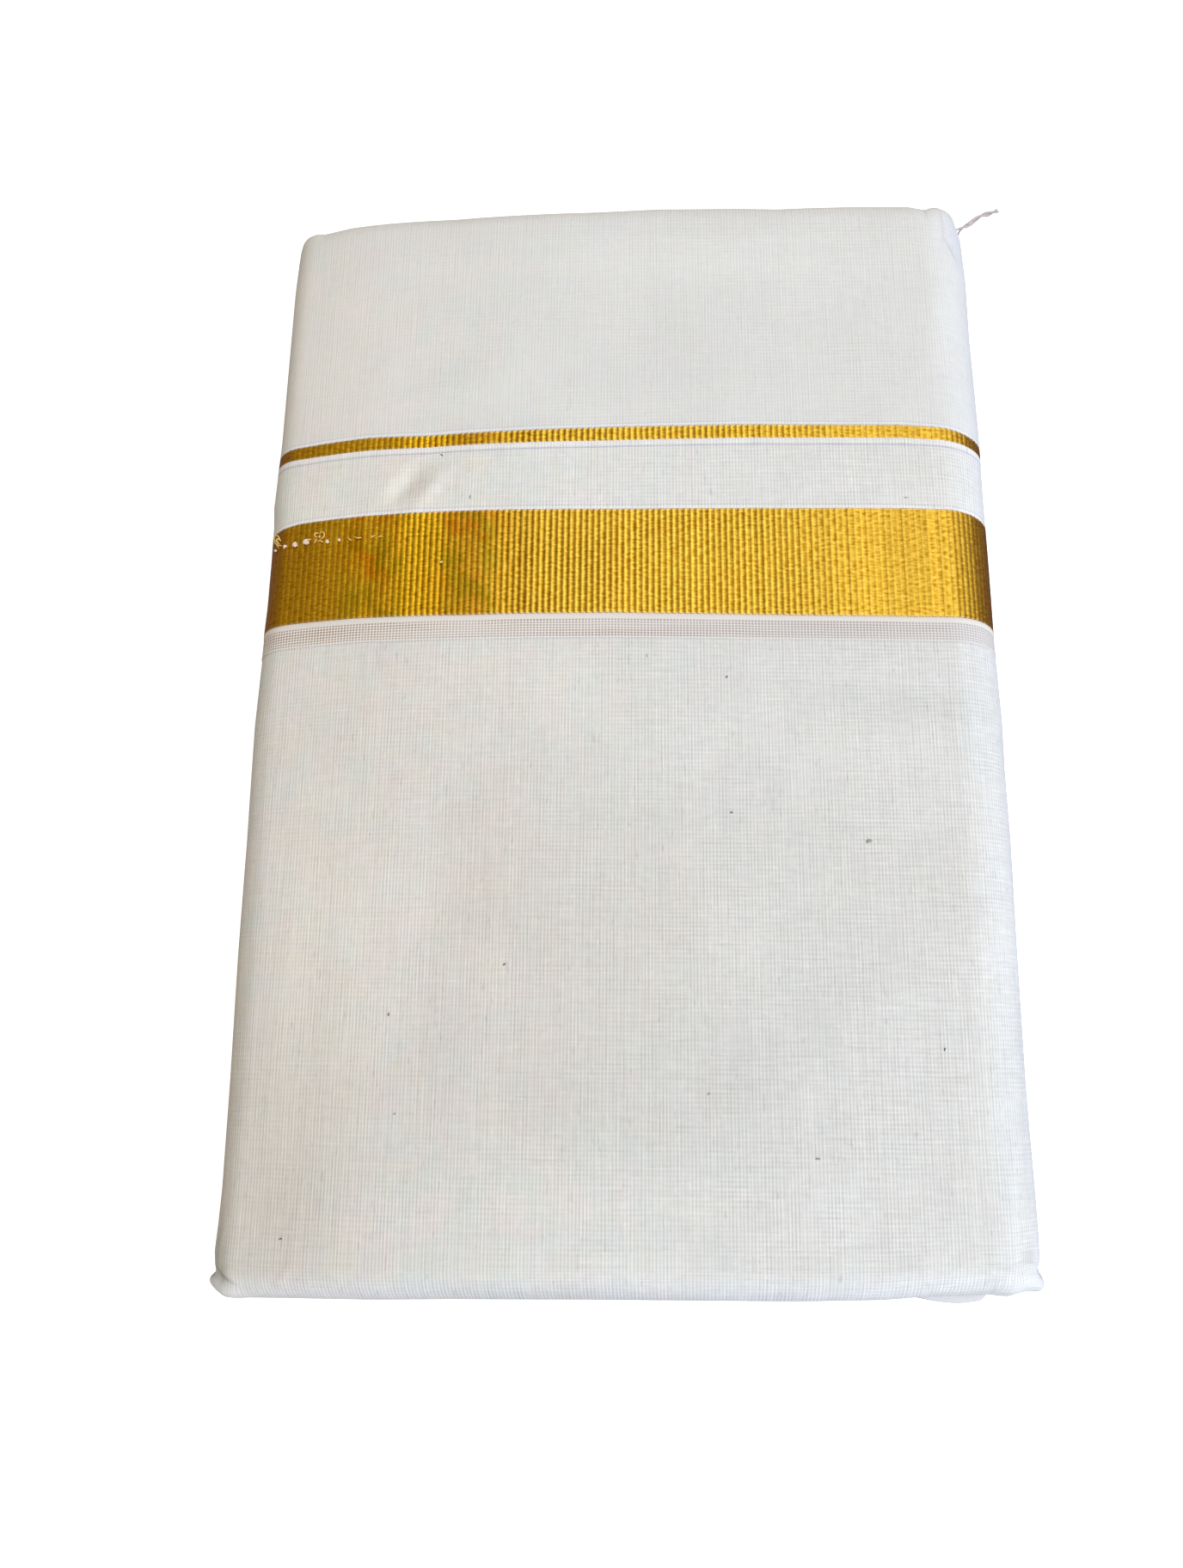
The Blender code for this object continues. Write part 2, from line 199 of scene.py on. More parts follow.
# How far the woven lines wander along Y: x, then each line's shift, in millimetres
WovenLine = namedtuple("WovenLine", "x selvedge wide_low wide_high thin_low thin_high")
WOVEN_LINES = (
    WovenLine(-0.125, -0.7, -0.4, -2.8, -1.1, -1.9),
    WovenLine(-0.1225, -0.5, -0.4, -2.0, -1.1, -1.8),
    WovenLine(-0.112, -0.2, 0.0, -0.6, -1.4, -1.7),
    WovenLine(-0.090, 0.1, 0.1, -0.3, -1.2, -1.3),
    WovenLine(-0.068, -0.2, -0.2, -0.4, -1.7, -2.1),
    WovenLine(-0.052, -0.3, -0.4, -0.4, -1.3, -1.7),
    WovenLine(-0.005, 0.3, 0.3, 0.1, 0.0, 0.2),
    WovenLine(0.045, 0.0, -0.1, 0.5, 1.1, 1.3),
    WovenLine(0.093, -0.5, -0.7, 0.5, 1.1, 1.1),
    WovenLine(0.108, -0.6, -0.7, 0.2, 0.3, 0.1),
    WovenLine(0.117, -0.7, -0.8, -0.3, -0.3, -1.0),
    WovenLine(0.124, -0.9, -1.1, -1.0, -0.4, -1.2),
)
LINE_FADE = 0.030

# Soft hollows, swellings and creases of the top
Relief = namedtuple("Relief", "x y half_length half_width turn height")
RELIEFS = (
    Relief(0.086, -0.004, 0.040, 0.012, 2, -0.0007),
    Relief(-0.056, -0.062, 0.047, 0.016, 78, -0.0008),
    Relief(-0.0752, 0.0742, 0.0115, 0.0044, 50, -0.0016),
    Relief(-0.0672, 0.0712, 0.0120, 0.0040, 56, 0.0010),
    Relief(-0.051, 0.112, 0.024, 0.016, 20, 0.0006),
    Relief(-0.102, -0.154, 0.024, 0.018, 30, -0.0007),
    Relief(0.095, -0.051, 0.022, 0.018, 60, -0.0005),
    Relief(0.031, -0.126, 0.040, 0.016, 5, -0.0005),
)
CREASES = (
    Relief(0.1140, 0.1760, 0.0070, 0.0009, 84, -0.0007),
    Relief(0.1165, 0.1680, 0.0050, 0.0009, -52, -0.0008),
    Relief(0.1157, 0.1650, 0.0040, 0.0010, 76, -0.0004),
    Relief(0.1080, 0.1790, 0.0050, 0.0009, 82, -0.0005),
    Relief(0.1168, -0.1768, 0.0045, 0.0008, -6, -0.0007),
    Relief(0.1080, -0.1768, 0.0090, 0.0012, 8, -0.0004),
    Relief(-0.1196, -0.1826, 0.0040, 0.0008, -24, -0.0010),
    Relief(-0.1130, -0.1740, 0.0090, 0.0013, -14, -0.0004),
    Relief(-0.1000, -0.1800, 0.0060, 0.0016, 60, 0.0004),
    Relief(0.0600, -0.1700, 0.0350, 0.0022, 1, -0.0002),
    Relief(-0.0300, -0.1725, 0.0300, 0.0020, -2, -0.0002),
)

# Seed flecks and lint on the cloth: x, y, length and width in millimetres, turn, how dark
Fleck = namedtuple("Fleck", "x y length width turn dark")
FLECKS = (
    Fleck(-0.0633, 0.0834, 1.3, 0.45, -35, 0.75),
    Fleck(-0.0528, 0.0672, 1.7, 0.35, 88, 0.60),
    Fleck(0.0763, -0.0511, 1.8, 1.40, 20, 0.40),
    Fleck(0.0335, -0.0420, 0.9, 0.60, 10, 0.55),
    Fleck(-0.0718, -0.1053, 0.9, 0.60, 80, 0.85),
    Fleck(-0.0367, -0.0901, 0.9, 0.60, 40, 0.80),
    Fleck(0.0329, 0.0031, 1.0, 0.60, 60, 0.60),
    Fleck(0.0941, 0.0669, 1.3, 0.50, 0, 0.35),
    Fleck(0.0959, -0.1142, 1.0, 0.55, 75, 0.55),
    Fleck(0.1201, -0.0649, 0.9, 0.50, 80, 0.45),
    Fleck(0.0070, 0.0103, 1.0, 0.45, 85, 0.45),
    Fleck(-0.0684, -0.1346, 0.9, 0.55, 30, 0.45),
    Fleck(0.0253, -0.1279, 1.0, 0.60, 30, 0.40),
    Fleck(0.0568, -0.1460, 1.4, 0.80, 0, 0.35),
    Fleck(-0.1015, -0.1708, 0.9, 0.60, 15, 0.60),
)

# Frayed ends of yarn beside the left fold: kind, x, y, size in millimetres, turn
Fray = namedtuple("Fray", "kind x y size turn")
FRAYS = (
    Fray("arch", -0.1213, 0.0580, 2.6, 12),
    Fray("arch", -0.1206, 0.0571, 1.5, 30),
    Fray("dash", -0.1217, 0.0562, 4.6, -41),
    Fray("dash", -0.1208, 0.0570, 3.6, -46),
    Fray("dash", -0.1204, 0.0558, 3.0, -38),
    Fray("tuft", -0.1221, 0.0538, 0.9, 20),
    Fray("tuft", -0.1181, 0.0535, 1.4, 55),
    Fray("tuft", -0.1151, 0.0541, 2.2, 8),
    Fray("tuft", -0.1112, 0.0544, 2.7, 14),
    Fray("dash", -0.1088, 0.0553, 1.4, 25),
    Fray("arc", -0.1043, 0.0563, 2.5, -110),
    Fray("arc", -0.1059, 0.0567, 1.5, 50),
    Fray("dash", -0.1063, 0.0545, 2.0, 50),
    Fray("tuft", -0.1028, 0.0538, 1.5, 5),
    Fray("dash", -0.1047, 0.0542, 2.4, -12),
    Fray("tuft", -0.0983, 0.0540, 1.1, 0),
    Fray("dash", -0.0941, 0.0540, 2.0, -25),
    Fray("dash", -0.0913, 0.0543, 2.9, -8),
    Fray("dash", -0.0860, 0.0541, 2.1, 12),
    Fray("dash", -0.0833, 0.0539, 1.7, -5),
    Fray("nub", -0.0618, 0.0434, 1.3, 20),
    Fray("nub", -0.1050, 0.0560, 0.8, 60),
)

# How strongly the ribs of the gold borders show across the pack, and how far their tone is deepened by
# painted shade, most at the side folds where the gold turns away from the light
GoldStep = namedtuple("GoldStep", "x ribs deep")
GOLD_STEPS = (
    GoldStep(-0.1250, 0.15, 1.00),
    GoldStep(-0.1215, 0.22, 0.80),
    GoldStep(-0.1160, 0.28, 0.50),
    GoldStep(-0.0970, 0.22, 0.38),
    GoldStep(-0.0850, 0.26, 0.37),
    GoldStep(-0.0800, 0.32, 0.43),
    GoldStep(-0.0765, 0.38, 0.36),
    GoldStep(-0.0725, 0.70, 0.17),
    GoldStep(-0.0620, 0.70, 0.20),
    GoldStep(-0.0580, 0.38, 0.50),
    GoldStep(-0.0540, 0.38, 0.56),
    GoldStep(-0.0465, 0.42, 0.46),
    GoldStep(-0.0420, 0.80, 0.24),
    GoldStep(-0.0380, 0.92, 0.20),
    GoldStep(-0.0330, 0.96, 0.20),
    GoldStep(-0.0290, 1.00, 0.06),
    GoldStep(-0.0200, 1.00, 0.03),
    GoldStep(0.0100, 0.90, 0.03),
    GoldStep(0.0300, 0.92, 0.03),
    GoldStep(0.0550, 0.78, 0.10),
    GoldStep(0.0750, 0.52, 0.20),
    GoldStep(0.1050, 0.42, 0.24),
    GoldStep(0.1140, 0.50, 0.32),
    GoldStep(0.1190, 0.60, 0.60),
    GoldStep(0.1225, 0.60, 0.90),
    GoldStep(0.1250, 0.60, 1.00),
)

# Soft patches where the cloth is warmer (or cooler, below 0) or dimmer (lighter, below 0): x, y, half
# sizes. The dim and light patches are painted shade and painted light, the cool patches are painted cool
# light, and the warm patches are partly the cloth's own tint and partly painted warm shade
TintAndLight = namedtuple("TintAndLight", "x y half_x half_y warm dark")
BODY_TINTS_AND_LIGHT = (
    TintAndLight(-0.105, -0.150, 0.034, 0.050, 0.70, 0.08),
    TintAndLight(-0.095, -0.070, 0.035, 0.080, 0.55, -0.02),
    TintAndLight(-0.045, -0.062, 0.028, 0.070, 0.50, 0.04),
    TintAndLight(-0.008, -0.085, 0.040, 0.055, 0.40, 0.09),
    TintAndLight(-0.060, 0.000, 0.070, 0.020, 0.35, -0.02),
    TintAndLight(0.075, -0.055, 0.048, 0.036, 0.10, 0.05),
    TintAndLight(0.015, -0.130, 0.050, 0.030, 0.00, 0.07),
    TintAndLight(-0.040, -0.140, 0.034, 0.034, 0.30, 0.04),
    # Painted cool light and shade along the right fold; painted cool light along the near edge, with
    # painted light towards its corners
    TintAndLight(0.1235, -0.080, 0.006, 0.150, -0.45, 0.03),
    TintAndLight(0.000, -0.1850, 0.160, 0.0060, -0.45, 0.00),
    TintAndLight(0.085, -0.1840, 0.060, 0.0070, -0.25, -0.12),
    TintAndLight(-0.095, -0.1850, 0.040, 0.0060, -0.30, -0.10),
    TintAndLight(-0.1250, -0.1850, 0.009, 0.006, -0.30, -0.24),
)
FLAP_TINTS_AND_LIGHT = (
    TintAndLight(-0.105, 0.110, 0.040, 0.080, 0.35, -0.03),
    TintAndLight(-0.066, 0.074, 0.022, 0.013, 0.40, -0.01),
    TintAndLight(0.020, 0.130, 0.050, 0.030, 0.00, 0.02),
    # Painted cool light and shade along the right fold and on the facet of the far right corner
    TintAndLight(0.1225, 0.110, 0.006, 0.100, -0.45, 0.03),
    TintAndLight(0.1190, 0.172, 0.005, 0.009, -0.70, 0.02),
)

# Painted shade in the folds of the corners and in creases and hollows over the cloth, and painted
# highlights where how dark is below 0: x, y, half sizes, turn and how dark
Shade = namedtuple("Shade", "x y half_length half_width turn dark")
BODY_SHADES = (
    Shade(-0.1196, -0.1792, 0.0042, 0.0008, -24, 0.35),
    Shade(-0.1225, -0.1740, 0.0080, 0.0016, 84, 0.22),
    Shade(0.1185, -0.1745, 0.0040, 0.0008, -12, 0.12),
    Shade(-0.1205, -0.1785, 0.0055, 0.0020, 80, 0.22),
    Shade(0.0840, -0.0040, 0.0280, 0.0050, -4, 0.05),
    Shade(0.0800, -0.0210, 0.0300, 0.0070, 3, -0.04),
    Shade(0.0630, -0.0400, 0.0300, 0.0140, 35, -0.02),
    Shade(-0.1020, -0.0920, 0.0450, 0.0055, 87, -0.06),
    Shade(-0.1180, -0.0920, 0.0600, 0.0030, 89, 0.07),
    Shade(-0.0575, -0.0480, 0.0280, 0.0050, 62, 0.035),
    Shade(-0.0585, -0.1200, 0.0300, 0.0120, 84, 0.04),
    Shade(0.0630, -0.1010, 0.0400, 0.0120, 32, 0.045),
    Shade(0.1040, -0.1410, 0.0450, 0.0050, 84, -0.03),
    Shade(-0.0015, -0.1690, 0.0300, 0.0060, 0, 0.045),
    Shade(0.1190, -0.1450, 0.0350, 0.0030, 87, 0.05),
)
FLAP_SHADES = (
    Shade(0.1140, 0.1760, 0.0070, 0.0007, 84, 0.10),
    Shade(0.1165, 0.1670, 0.0045, 0.0008, -52, 0.16),
    Shade(0.1080, 0.1800, 0.0040, 0.0008, 82, 0.10),
    Shade(0.0280, 0.1735, 0.0600, 0.0035, 0, 0.045),
    Shade(0.0100, 0.1575, 0.0850, 0.0040, 0, -0.02),
    Shade(-0.0680, 0.1050, 0.0180, 0.0040, 8, -0.03),
    Shade(-0.0380, 0.0945, 0.0200, 0.0030, -4, 0.035),
    Shade(0.1060, 0.1220, 0.0220, 0.0040, 70, -0.03),
    Shade(-0.0890, 0.1190, 0.0120, 0.0050, 60, 0.03),
    Shade(-0.1180, 0.1300, 0.0500, 0.0040, 88, -0.06),
)

# Loose yarn at the far right corner: out, along, down, in millimetres from its root
YARN_ROOT = (0.1223, 0.1815, 0.0280)
YarnStep = namedtuple("YarnStep", "out along down")
YARN_STEPS = (
    YarnStep(0.0, 0.0, 0.0),
    YarnStep(1.8, 1.6, 0.0),
    YarnStep(4.3, 3.2, 0.1),
    YarnStep(8.1, 6.5, 0.5),
    YarnStep(10.5, 8.2, 1.0),
    YarnStep(12.6, 9.2, 1.5),
    YarnStep(14.7, 10.3, 2.0),
    YarnStep(16.7, 11.5, 2.5),
)

# Camera, as the photograph was taken
CAMERA_PLACE = (-0.00779, -0.12557, 0.40264)
CAMERA_TURN = (0.2491, 0.0056, 0.0088)
CAMERA_LENS = 27.18
SENSOR_WIDTH = 36.0

# Studio: the floor's own glow, the sky's grades and colours, and the lamps
FLOOR_GLOW = 0.60
SKY_ACROSS = (-0.52, 0.14, 0.0, 1.0)
SKY_ALONG = (-1.0, 1.0, 0.75, 1.30)
SKY_UP = (0.30, 0.90, 0.0, 1.0)
SKY_DIM = (0.38, 0.33, 0.25, 1.0)
SKY_BRIGHT = (1.66, 1.68, 1.72, 1.0)
SKY_STRENGTH = 1.0
LAMPS = (
    ("key_right", (0.90, -0.30, 0.75), (0.5, 0.5), 3.2, (0.78, 0.89, 1.0)),
    ("fill_near", (0.50, -1.15, 0.40), (0.6, 0.4), 5.4, (0.66, 0.80, 1.0)),
    ("glow_right", (1.20, 0.10, 0.16), (0.6, 0.3), 2.2, (0.30, 0.50, 1.0)),
)


def smooth(share):
    """Shares from 0 to 1 with level ends."""
    share = np.clip(share, 0.0, 1.0)
    return share * share * (3.0 - 2.0 * share)


def column_of(steps, key, value, wanted):
    """One column of a table, read between its rows."""
    keys = [getattr(step, key) for step in steps]
    values = [getattr(step, value) for step in steps]
    return np.interp(wanted, keys, values)


class Section:
    """Points round the pack's section, each with the point of its middle line that it faces."""

    def __init__(self, right, top, left, under):
        right_turn = -math.pi / 2 + math.pi * np.arange(right) / right
        left_turn = LEFT_FOLD_SWEEP * (1.0 - np.arange(left) / left) - math.pi / 2
        top_share = np.arange(top) / top
        under_share = np.arange(under) / under
        lean = LEFT_FOLD_SWEEP - math.pi / 2
        start_x = LEFT_CENTRE_X - LEFT_FOLD_RADIUS * math.cos(lean)
        start_z = LEFT_FOLD_RADIUS * (1.0 + math.sin(lean))
        top_x = RIGHT_CENTRE_X + (start_x - RIGHT_CENTRE_X) * top_share
        span = CROWN_X - start_x
        share = np.clip((top_x - start_x) / span, 0.0, 1.0)
        climb = share * (1.0 - share) ** 2 * span / math.tan(lean)
        left_z = start_z + (CROWN_HEIGHT - start_z) * smooth(share) + climb
        level = smooth((top_x - CROWN_X) / (RIGHT_CENTRE_X - CROWN_X))
        right_z = CROWN_HEIGHT + (2 * RIGHT_FOLD_RADIUS - CROWN_HEIGHT) * level
        self.x = np.concatenate((
            RIGHT_CENTRE_X + RIGHT_FOLD_RADIUS * np.cos(right_turn),
            top_x,
            LEFT_CENTRE_X - LEFT_FOLD_RADIUS * np.cos(left_turn),
            LEFT_CENTRE_X + (RIGHT_CENTRE_X - LEFT_CENTRE_X) * under_share,
        ))
        self.z = np.concatenate((
            RIGHT_FOLD_RADIUS * (1.0 + np.sin(right_turn)),
            np.where(top_x >= CROWN_X, right_z, left_z),
            LEFT_FOLD_RADIUS * (1.0 + np.sin(left_turn)),
            np.zeros(under),
        ))
        self.spine_x = np.concatenate((
            np.full(right, RIGHT_CENTRE_X),
            RIGHT_CENTRE_X + (LEFT_CENTRE_X - RIGHT_CENTRE_X) * top_share,
            np.full(left, LEFT_CENTRE_X),
            LEFT_CENTRE_X + (RIGHT_CENTRE_X - LEFT_CENTRE_X) * under_share,
        ))
        self.spine_z = np.concatenate((
            np.full(right, RIGHT_FOLD_RADIUS),
            RIGHT_FOLD_RADIUS + (LEFT_FOLD_RADIUS - RIGHT_FOLD_RADIUS) * top_share,
            np.full(left, LEFT_FOLD_RADIUS),
            LEFT_FOLD_RADIUS + (RIGHT_FOLD_RADIUS - LEFT_FOLD_RADIUS) * under_share,
        ))
        self.facing = np.concatenate((
            np.sin(right_turn), np.ones(top), np.sin(left_turn), -np.ones(under)))
        self.half = np.hypot(self.x - self.spine_x, self.z - self.spine_z)
        step = np.hypot(np.roll(self.x, -1) - self.x, np.roll(self.z, -1) - self.z)
        self.along = np.concatenate(([0.0], np.cumsum(step)))
        self.round = self.along[-1]

    def by_facing(self, top, side, under):
        """Values that turn from one side of the pack to the next."""
        up = side + (top - side) * np.clip(self.facing, 0.0, 1.0) ** 1.5
        down = side + (under - side) * np.clip(-self.facing, 0.0, 1.0) ** 1.5
        return np.where(self.facing > 0, up, down)

    def lying(self):
        """Falls from 1 on top to 0 on the underside, where all the cloth lies on the floor."""
        return (1.0 + self.facing) / 2


def relief_height(forms, x, y):
    """Height of the top's soft hollows, swellings or creases."""
    height = np.zeros_like(x)
    for form in forms:
        turn = math.radians(form.turn)
        along = (x - form.x) * math.cos(turn) + (y - form.y) * math.sin(turn)
        across = (y - form.y) * math.cos(turn) - (x - form.x) * math.sin(turn)
        spread = (along / form.half_length) ** 2 + (across / form.half_width) ** 2
        height += form.height * np.exp(-2.0 * spread)
    return height


def ripple(x, y):
    """Faint unevenness that soft cloth has all over."""
    wide = np.sin(71.0 * x + 23.0 * y + 0.7) * np.sin(37.0 * y - 19.0 * x + 1.9)
    fine = np.sin(163.0 * x - 61.0 * y + 2.2) * np.sin(127.0 * y + 47.0 * x)
    return 0.00016 * wide + 0.00006 * fine


def woven_shift(x, y):
    """How far a point of the upper ply has wandered along Y with the woven lines."""
    lines = (
        (SELVEDGE_Y - LINE_FADE, None),
        (SELVEDGE_Y, "selvedge"),
        (WIDE_LOW_Y, "wide_low"),
        (WIDE_HIGH_Y, "wide_high"),
        (THIN_LOW_Y, "thin_low"),
        (THIN_HIGH_Y, "thin_high"),
        (THIN_HIGH_Y + LINE_FADE, None),
    )
    shifts = [np.zeros_like(x) if name is None else column_of(WOVEN_LINES, "x", name, x) * MM
              for _, name in lines]
    if y <= lines[0][0] or y >= lines[-1][0]:
        return np.zeros_like(x)
    for (low, _), (high, _), first, second in zip(lines, lines[1:], shifts, shifts[1:]):
        if y <= high:
            share = (y - low) / (high - low)
            return first + (second - first) * share
    return np.zeros_like(x)


def skin(section, y, depth, form=1.0):
    """A row of points of the pack at a depth below its surface, with its share of the forms."""
    share = depth / section.half
    x = section.x + (section.spine_x - section.x) * share
    z = section.z + (section.spine_z - section.z) * share
    y = np.broadcast_to(y, x.shape).astype(float)
    bow = SIDE_BOW * np.sin(math.pi * np.clip((y - NEAR_END) / PACK_LENGTH, 0.0, 1.0))
    x = x + bow * x / (PACK_WIDTH / 2)
    up = np.clip(section.facing, 0.0, 1.0) ** 2
    top = relief_height(RELIEFS, x, y) + relief_height(CREASES, x, y) + ripple(x, y)
    z = z + form * up * top
    side = np.where(x < 0, column_of(NEAR_SIDE_STEPS, "distance", "left", y - NEAR_END)
                    + column_of(FAR_SIDE_STEPS, "distance", "left", FAR_END - y),
                    column_of(NEAR_SIDE_STEPS, "distance", "right", y - NEAR_END)
                    + column_of(FAR_SIDE_STEPS, "distance", "right", FAR_END - y))
    inward = np.where(x < 0, column_of(FOLD_LINES, "y", "left", y),
                      column_of(FOLD_LINES, "y", "right", y)) * MM
    level = np.sqrt(np.clip(1.0 - section.facing ** 2, 0.0, 1.0))
    x = x + form * (side - inward) * np.sign(x) * level
    near = (y < 0)
    distance = PACK_LENGTH / 2 - np.abs(y)
    reach = np.clip((END_STEP_REACH - distance) / (END_STEP_REACH - END_STEP_FULL), 0.0, 1.0)
    fall = np.where(near, column_of(NEAR_END_STEPS, "x", "back", x),
                    -column_of(FAR_END_STEPS, "x", "back", x)) * reach * MM
    return np.stack((x, y + fall, z), axis=1)


def end_row(section, end, depth, distance, outer=True):
    """A row of points on the curl at one end, or a set depth inside it."""
    lying = section.lying() if outer else 1.0
    depth = depth * lying
    exponent = section.by_facing(TOP_EXPONENT, SIDE_EXPONENT, UNDER_EXPONENT)
    reach = max(0.0, 1.0 - distance / END_ROUNDING)
    curl = 1.0 - (1.0 - reach ** exponent) ** (1.0 / exponent)
    drop = section.by_facing(TOP_DROP_SHARE * section.half, SIDE_DROP,
                             UNDER_DROP_SHARE * section.half)
    from_end = depth + distance * (END_ROUNDING - depth) / END_ROUNDING
    y = end - math.copysign(1.0, end) * from_end
    return skin(section, y, depth + (drop - depth) * curl, (1.0 - curl) if outer else 0.0)


def cloth_mesh(name, rows, ups, section, material, ring=True):
    """One closed body through rows of points round the pack, with the cloth's own flat UVs."""
    points = np.concatenate(rows)
    count = len(section.x)
    pairs = [(i, i + 1) for i in range(len(rows) - 1)]
    if ring:
        pairs.append((len(rows) - 1, 0))
    index = np.arange(count)
    after = np.roll(index, -1)
    faces = np.concatenate([
        np.stack((a * count + index, a * count + after, b * count + after, b * count + index), 1)
        for a, b in pairs])
    low, high = section.along[:-1], section.along[1:]
    uvs = np.concatenate([
        np.stack((low, np.full(count, ups[a]), high, np.full(count, ups[a]),
                  high, np.full(count, ups[b]), low, np.full(count, ups[b])), 1)
        for a, b in pairs]).reshape(-1, 2)
    mesh = bpy.data.meshes.new(name)
    mesh.from_pydata(points.tolist(), [], faces.tolist())
    layer = mesh.uv_layers.new(name="cloth")
    layer.data.foreach_set("uv", uvs.astype(np.float32).ravel())
    mesh.validate()
    mesh.shade_smooth()
    mesh.materials.append(material)
    piece = bpy.data.objects.new(name, mesh)
    bpy.context.scene.collection.objects.link(piece)
    turn_outward(mesh)
    return piece


def turn_outward(mesh):
    """Flip a closed body whose faces look inward."""
    mesh.calc_loop_triangles()
    points = np.empty(len(mesh.vertices) * 3)
    mesh.vertices.foreach_get("co", points)
    points = points.reshape(-1, 3)
    corners = np.empty(len(mesh.loop_triangles) * 3, np.int64)
    mesh.loop_triangles.foreach_get("vertices", corners)
    a, b, c = points[corners.reshape(-1, 3)].transpose(1, 0, 2)
    if np.einsum("ij,ij->i", a, np.cross(b, c)).sum() < 0:
        mesh.flip_normals()


def add_turned_shade(piece):
    """Tell the cotton where it turns under at a fold, where shade is painted into its colour."""
    mesh = piece.data
    normals = np.empty(len(mesh.vertices) * 3)
    mesh.vertex_normals.foreach_get("vector", normals)
    _, along, up = normals.reshape(-1, 3).T
    full = 0.21 + 0.24 * np.clip(along, 0.0, 1.0) - 0.15 * np.clip(-along, 0.0, 1.0)
    outer = np.clip((full + TURNED_SPAN - up) / TURNED_SPAN, 0.0, 1.0)
    under = np.clip((up + 1.0) / 0.7, 0.0, 1.0)
    layer = mesh.attributes.new("turned_shade", "FLOAT", "POINT")
    layer.data.foreach_set("value", (outer * under).astype(np.float32))


def show(piece, *nodes, slot="white_cotton"):
    """Let a piece ride on the pack and stand for its solids."""
    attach(piece, "root")
    if nodes:
        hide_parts(*nodes)
    return piece


class Tree:
    """Nodes of one procedural material."""

    def __init__(self, name, roughness=0.85, metallic=0.0):
        self.material = bpy.data.materials.new(name)
        self.material.use_nodes = True
        self.nodes = self.material.node_tree.nodes
        self.links = self.material.node_tree.links
        self.shader = self.nodes["Principled BSDF"]
        self.shader.inputs["Roughness"].default_value = roughness
        self.shader.inputs["Metallic"].default_value = metallic
        uv = self.nodes.new("ShaderNodeUVMap")
        uv.uv_map = "cloth"
        self.uv = uv.outputs["UV"]
        split = self.nodes.new("ShaderNodeSeparateXYZ")
        self.links.new(self.uv, split.inputs[0])
        self.across = split.outputs["X"]
        self.up = split.outputs["Y"]

    def feed(self, socket, value):
        """Link a socket to an output, or set its constant."""
        if isinstance(value, bpy.types.NodeSocket):
            self.links.new(value, socket)
        elif value is not None:
            socket.default_value = value

    def math(self, operation, a, b=None, c=None, clamp=False):
        """A sum on one or more values."""
        node = self.nodes.new("ShaderNodeMath")
        node.operation = operation
        node.use_clamp = clamp
        for socket, value in zip(node.inputs, (a, b, c)):
            self.feed(socket, value)
        return node.outputs[0]

    def place(self, across, up, depth=0.0):
        """The cloth's own coordinates, scaled apart along and across."""
        node = self.nodes.new("ShaderNodeCombineXYZ")
        self.feed(node.inputs[0], self.math("MULTIPLY", self.across, across))
        self.feed(node.inputs[1], self.math("MULTIPLY", self.up, up))
        node.inputs[2].default_value = depth
        return node.outputs[0]

    def noise(self, across, up, seed, detail=2.0, rough=0.5):
        """Noise over the cloth, with so many features to a metre across and up it."""
        node = self.nodes.new("ShaderNodeTexNoise")
        node.noise_dimensions = "3D"
        self.feed(node.inputs["Vector"], self.place(across, up, seed))
        node.inputs["Scale"].default_value = 1.0
        node.inputs["Detail"].default_value = detail
        node.inputs["Roughness"].default_value = rough
        return node.outputs["Fac"]

    def ramp(self, value, low, high, to_low=0.0, to_high=1.0):
        """A value brought from one range to another, and held there."""
        node = self.nodes.new("ShaderNodeMapRange")
        node.clamp = True
        for socket, given in zip(node.inputs, (value, low, high, to_low, to_high)):
            self.feed(socket, given)
        return node.outputs[0]

    def band(self, value, centre, half, soft):
        """1 where a value lies near a centre, 0 beyond."""
        off = self.math("ABSOLUTE", self.math("SUBTRACT", value, centre))
        return self.ramp(off, half, half + soft, 1.0, 0.0)

    def waves(self, value, pitch, wander):
        """Even lines of a pitch that wander, from 0 to 1."""
        turn = self.math("MULTIPLY_ADD", value, math.tau / pitch, wander)
        return self.math("MULTIPLY_ADD", self.math("SINE", turn), 0.5, 0.5)

    def mix(self, share, a, b, how="MIX"):
        """Two colours mixed."""
        node = self.nodes.new("ShaderNodeMix")
        node.data_type = "RGBA"
        node.blend_type = how
        self.feed(node.inputs[0], share)
        self.feed(node.inputs[6], a)
        self.feed(node.inputs[7], b)
        return node.outputs[2]

    def told(self, name):
        """A value that the mesh carries at each of its points."""
        node = self.nodes.new("ShaderNodeAttribute")
        node.attribute_name = name
        return node.outputs["Fac"]

    def bump(self, height, distance, strength=1.0, normal=None):
        """Fine relief."""
        node = self.nodes.new("ShaderNodeBump")
        node.inputs["Strength"].default_value = strength
        node.inputs["Distance"].default_value = distance
        self.feed(node.inputs["Height"], height)
        if normal is not None:
            self.feed(node.inputs["Normal"], normal)
        return node.outputs[0]

    def finish(self, colour, normal=None, roughness=None):
        """Feed the shader."""
        self.feed(self.shader.inputs["Base Color"], colour)
        if normal is not None:
            self.feed(self.shader.inputs["Normal"], normal)
        if roughness is not None:
            self.feed(self.shader.inputs["Roughness"], roughness)
        return self.material


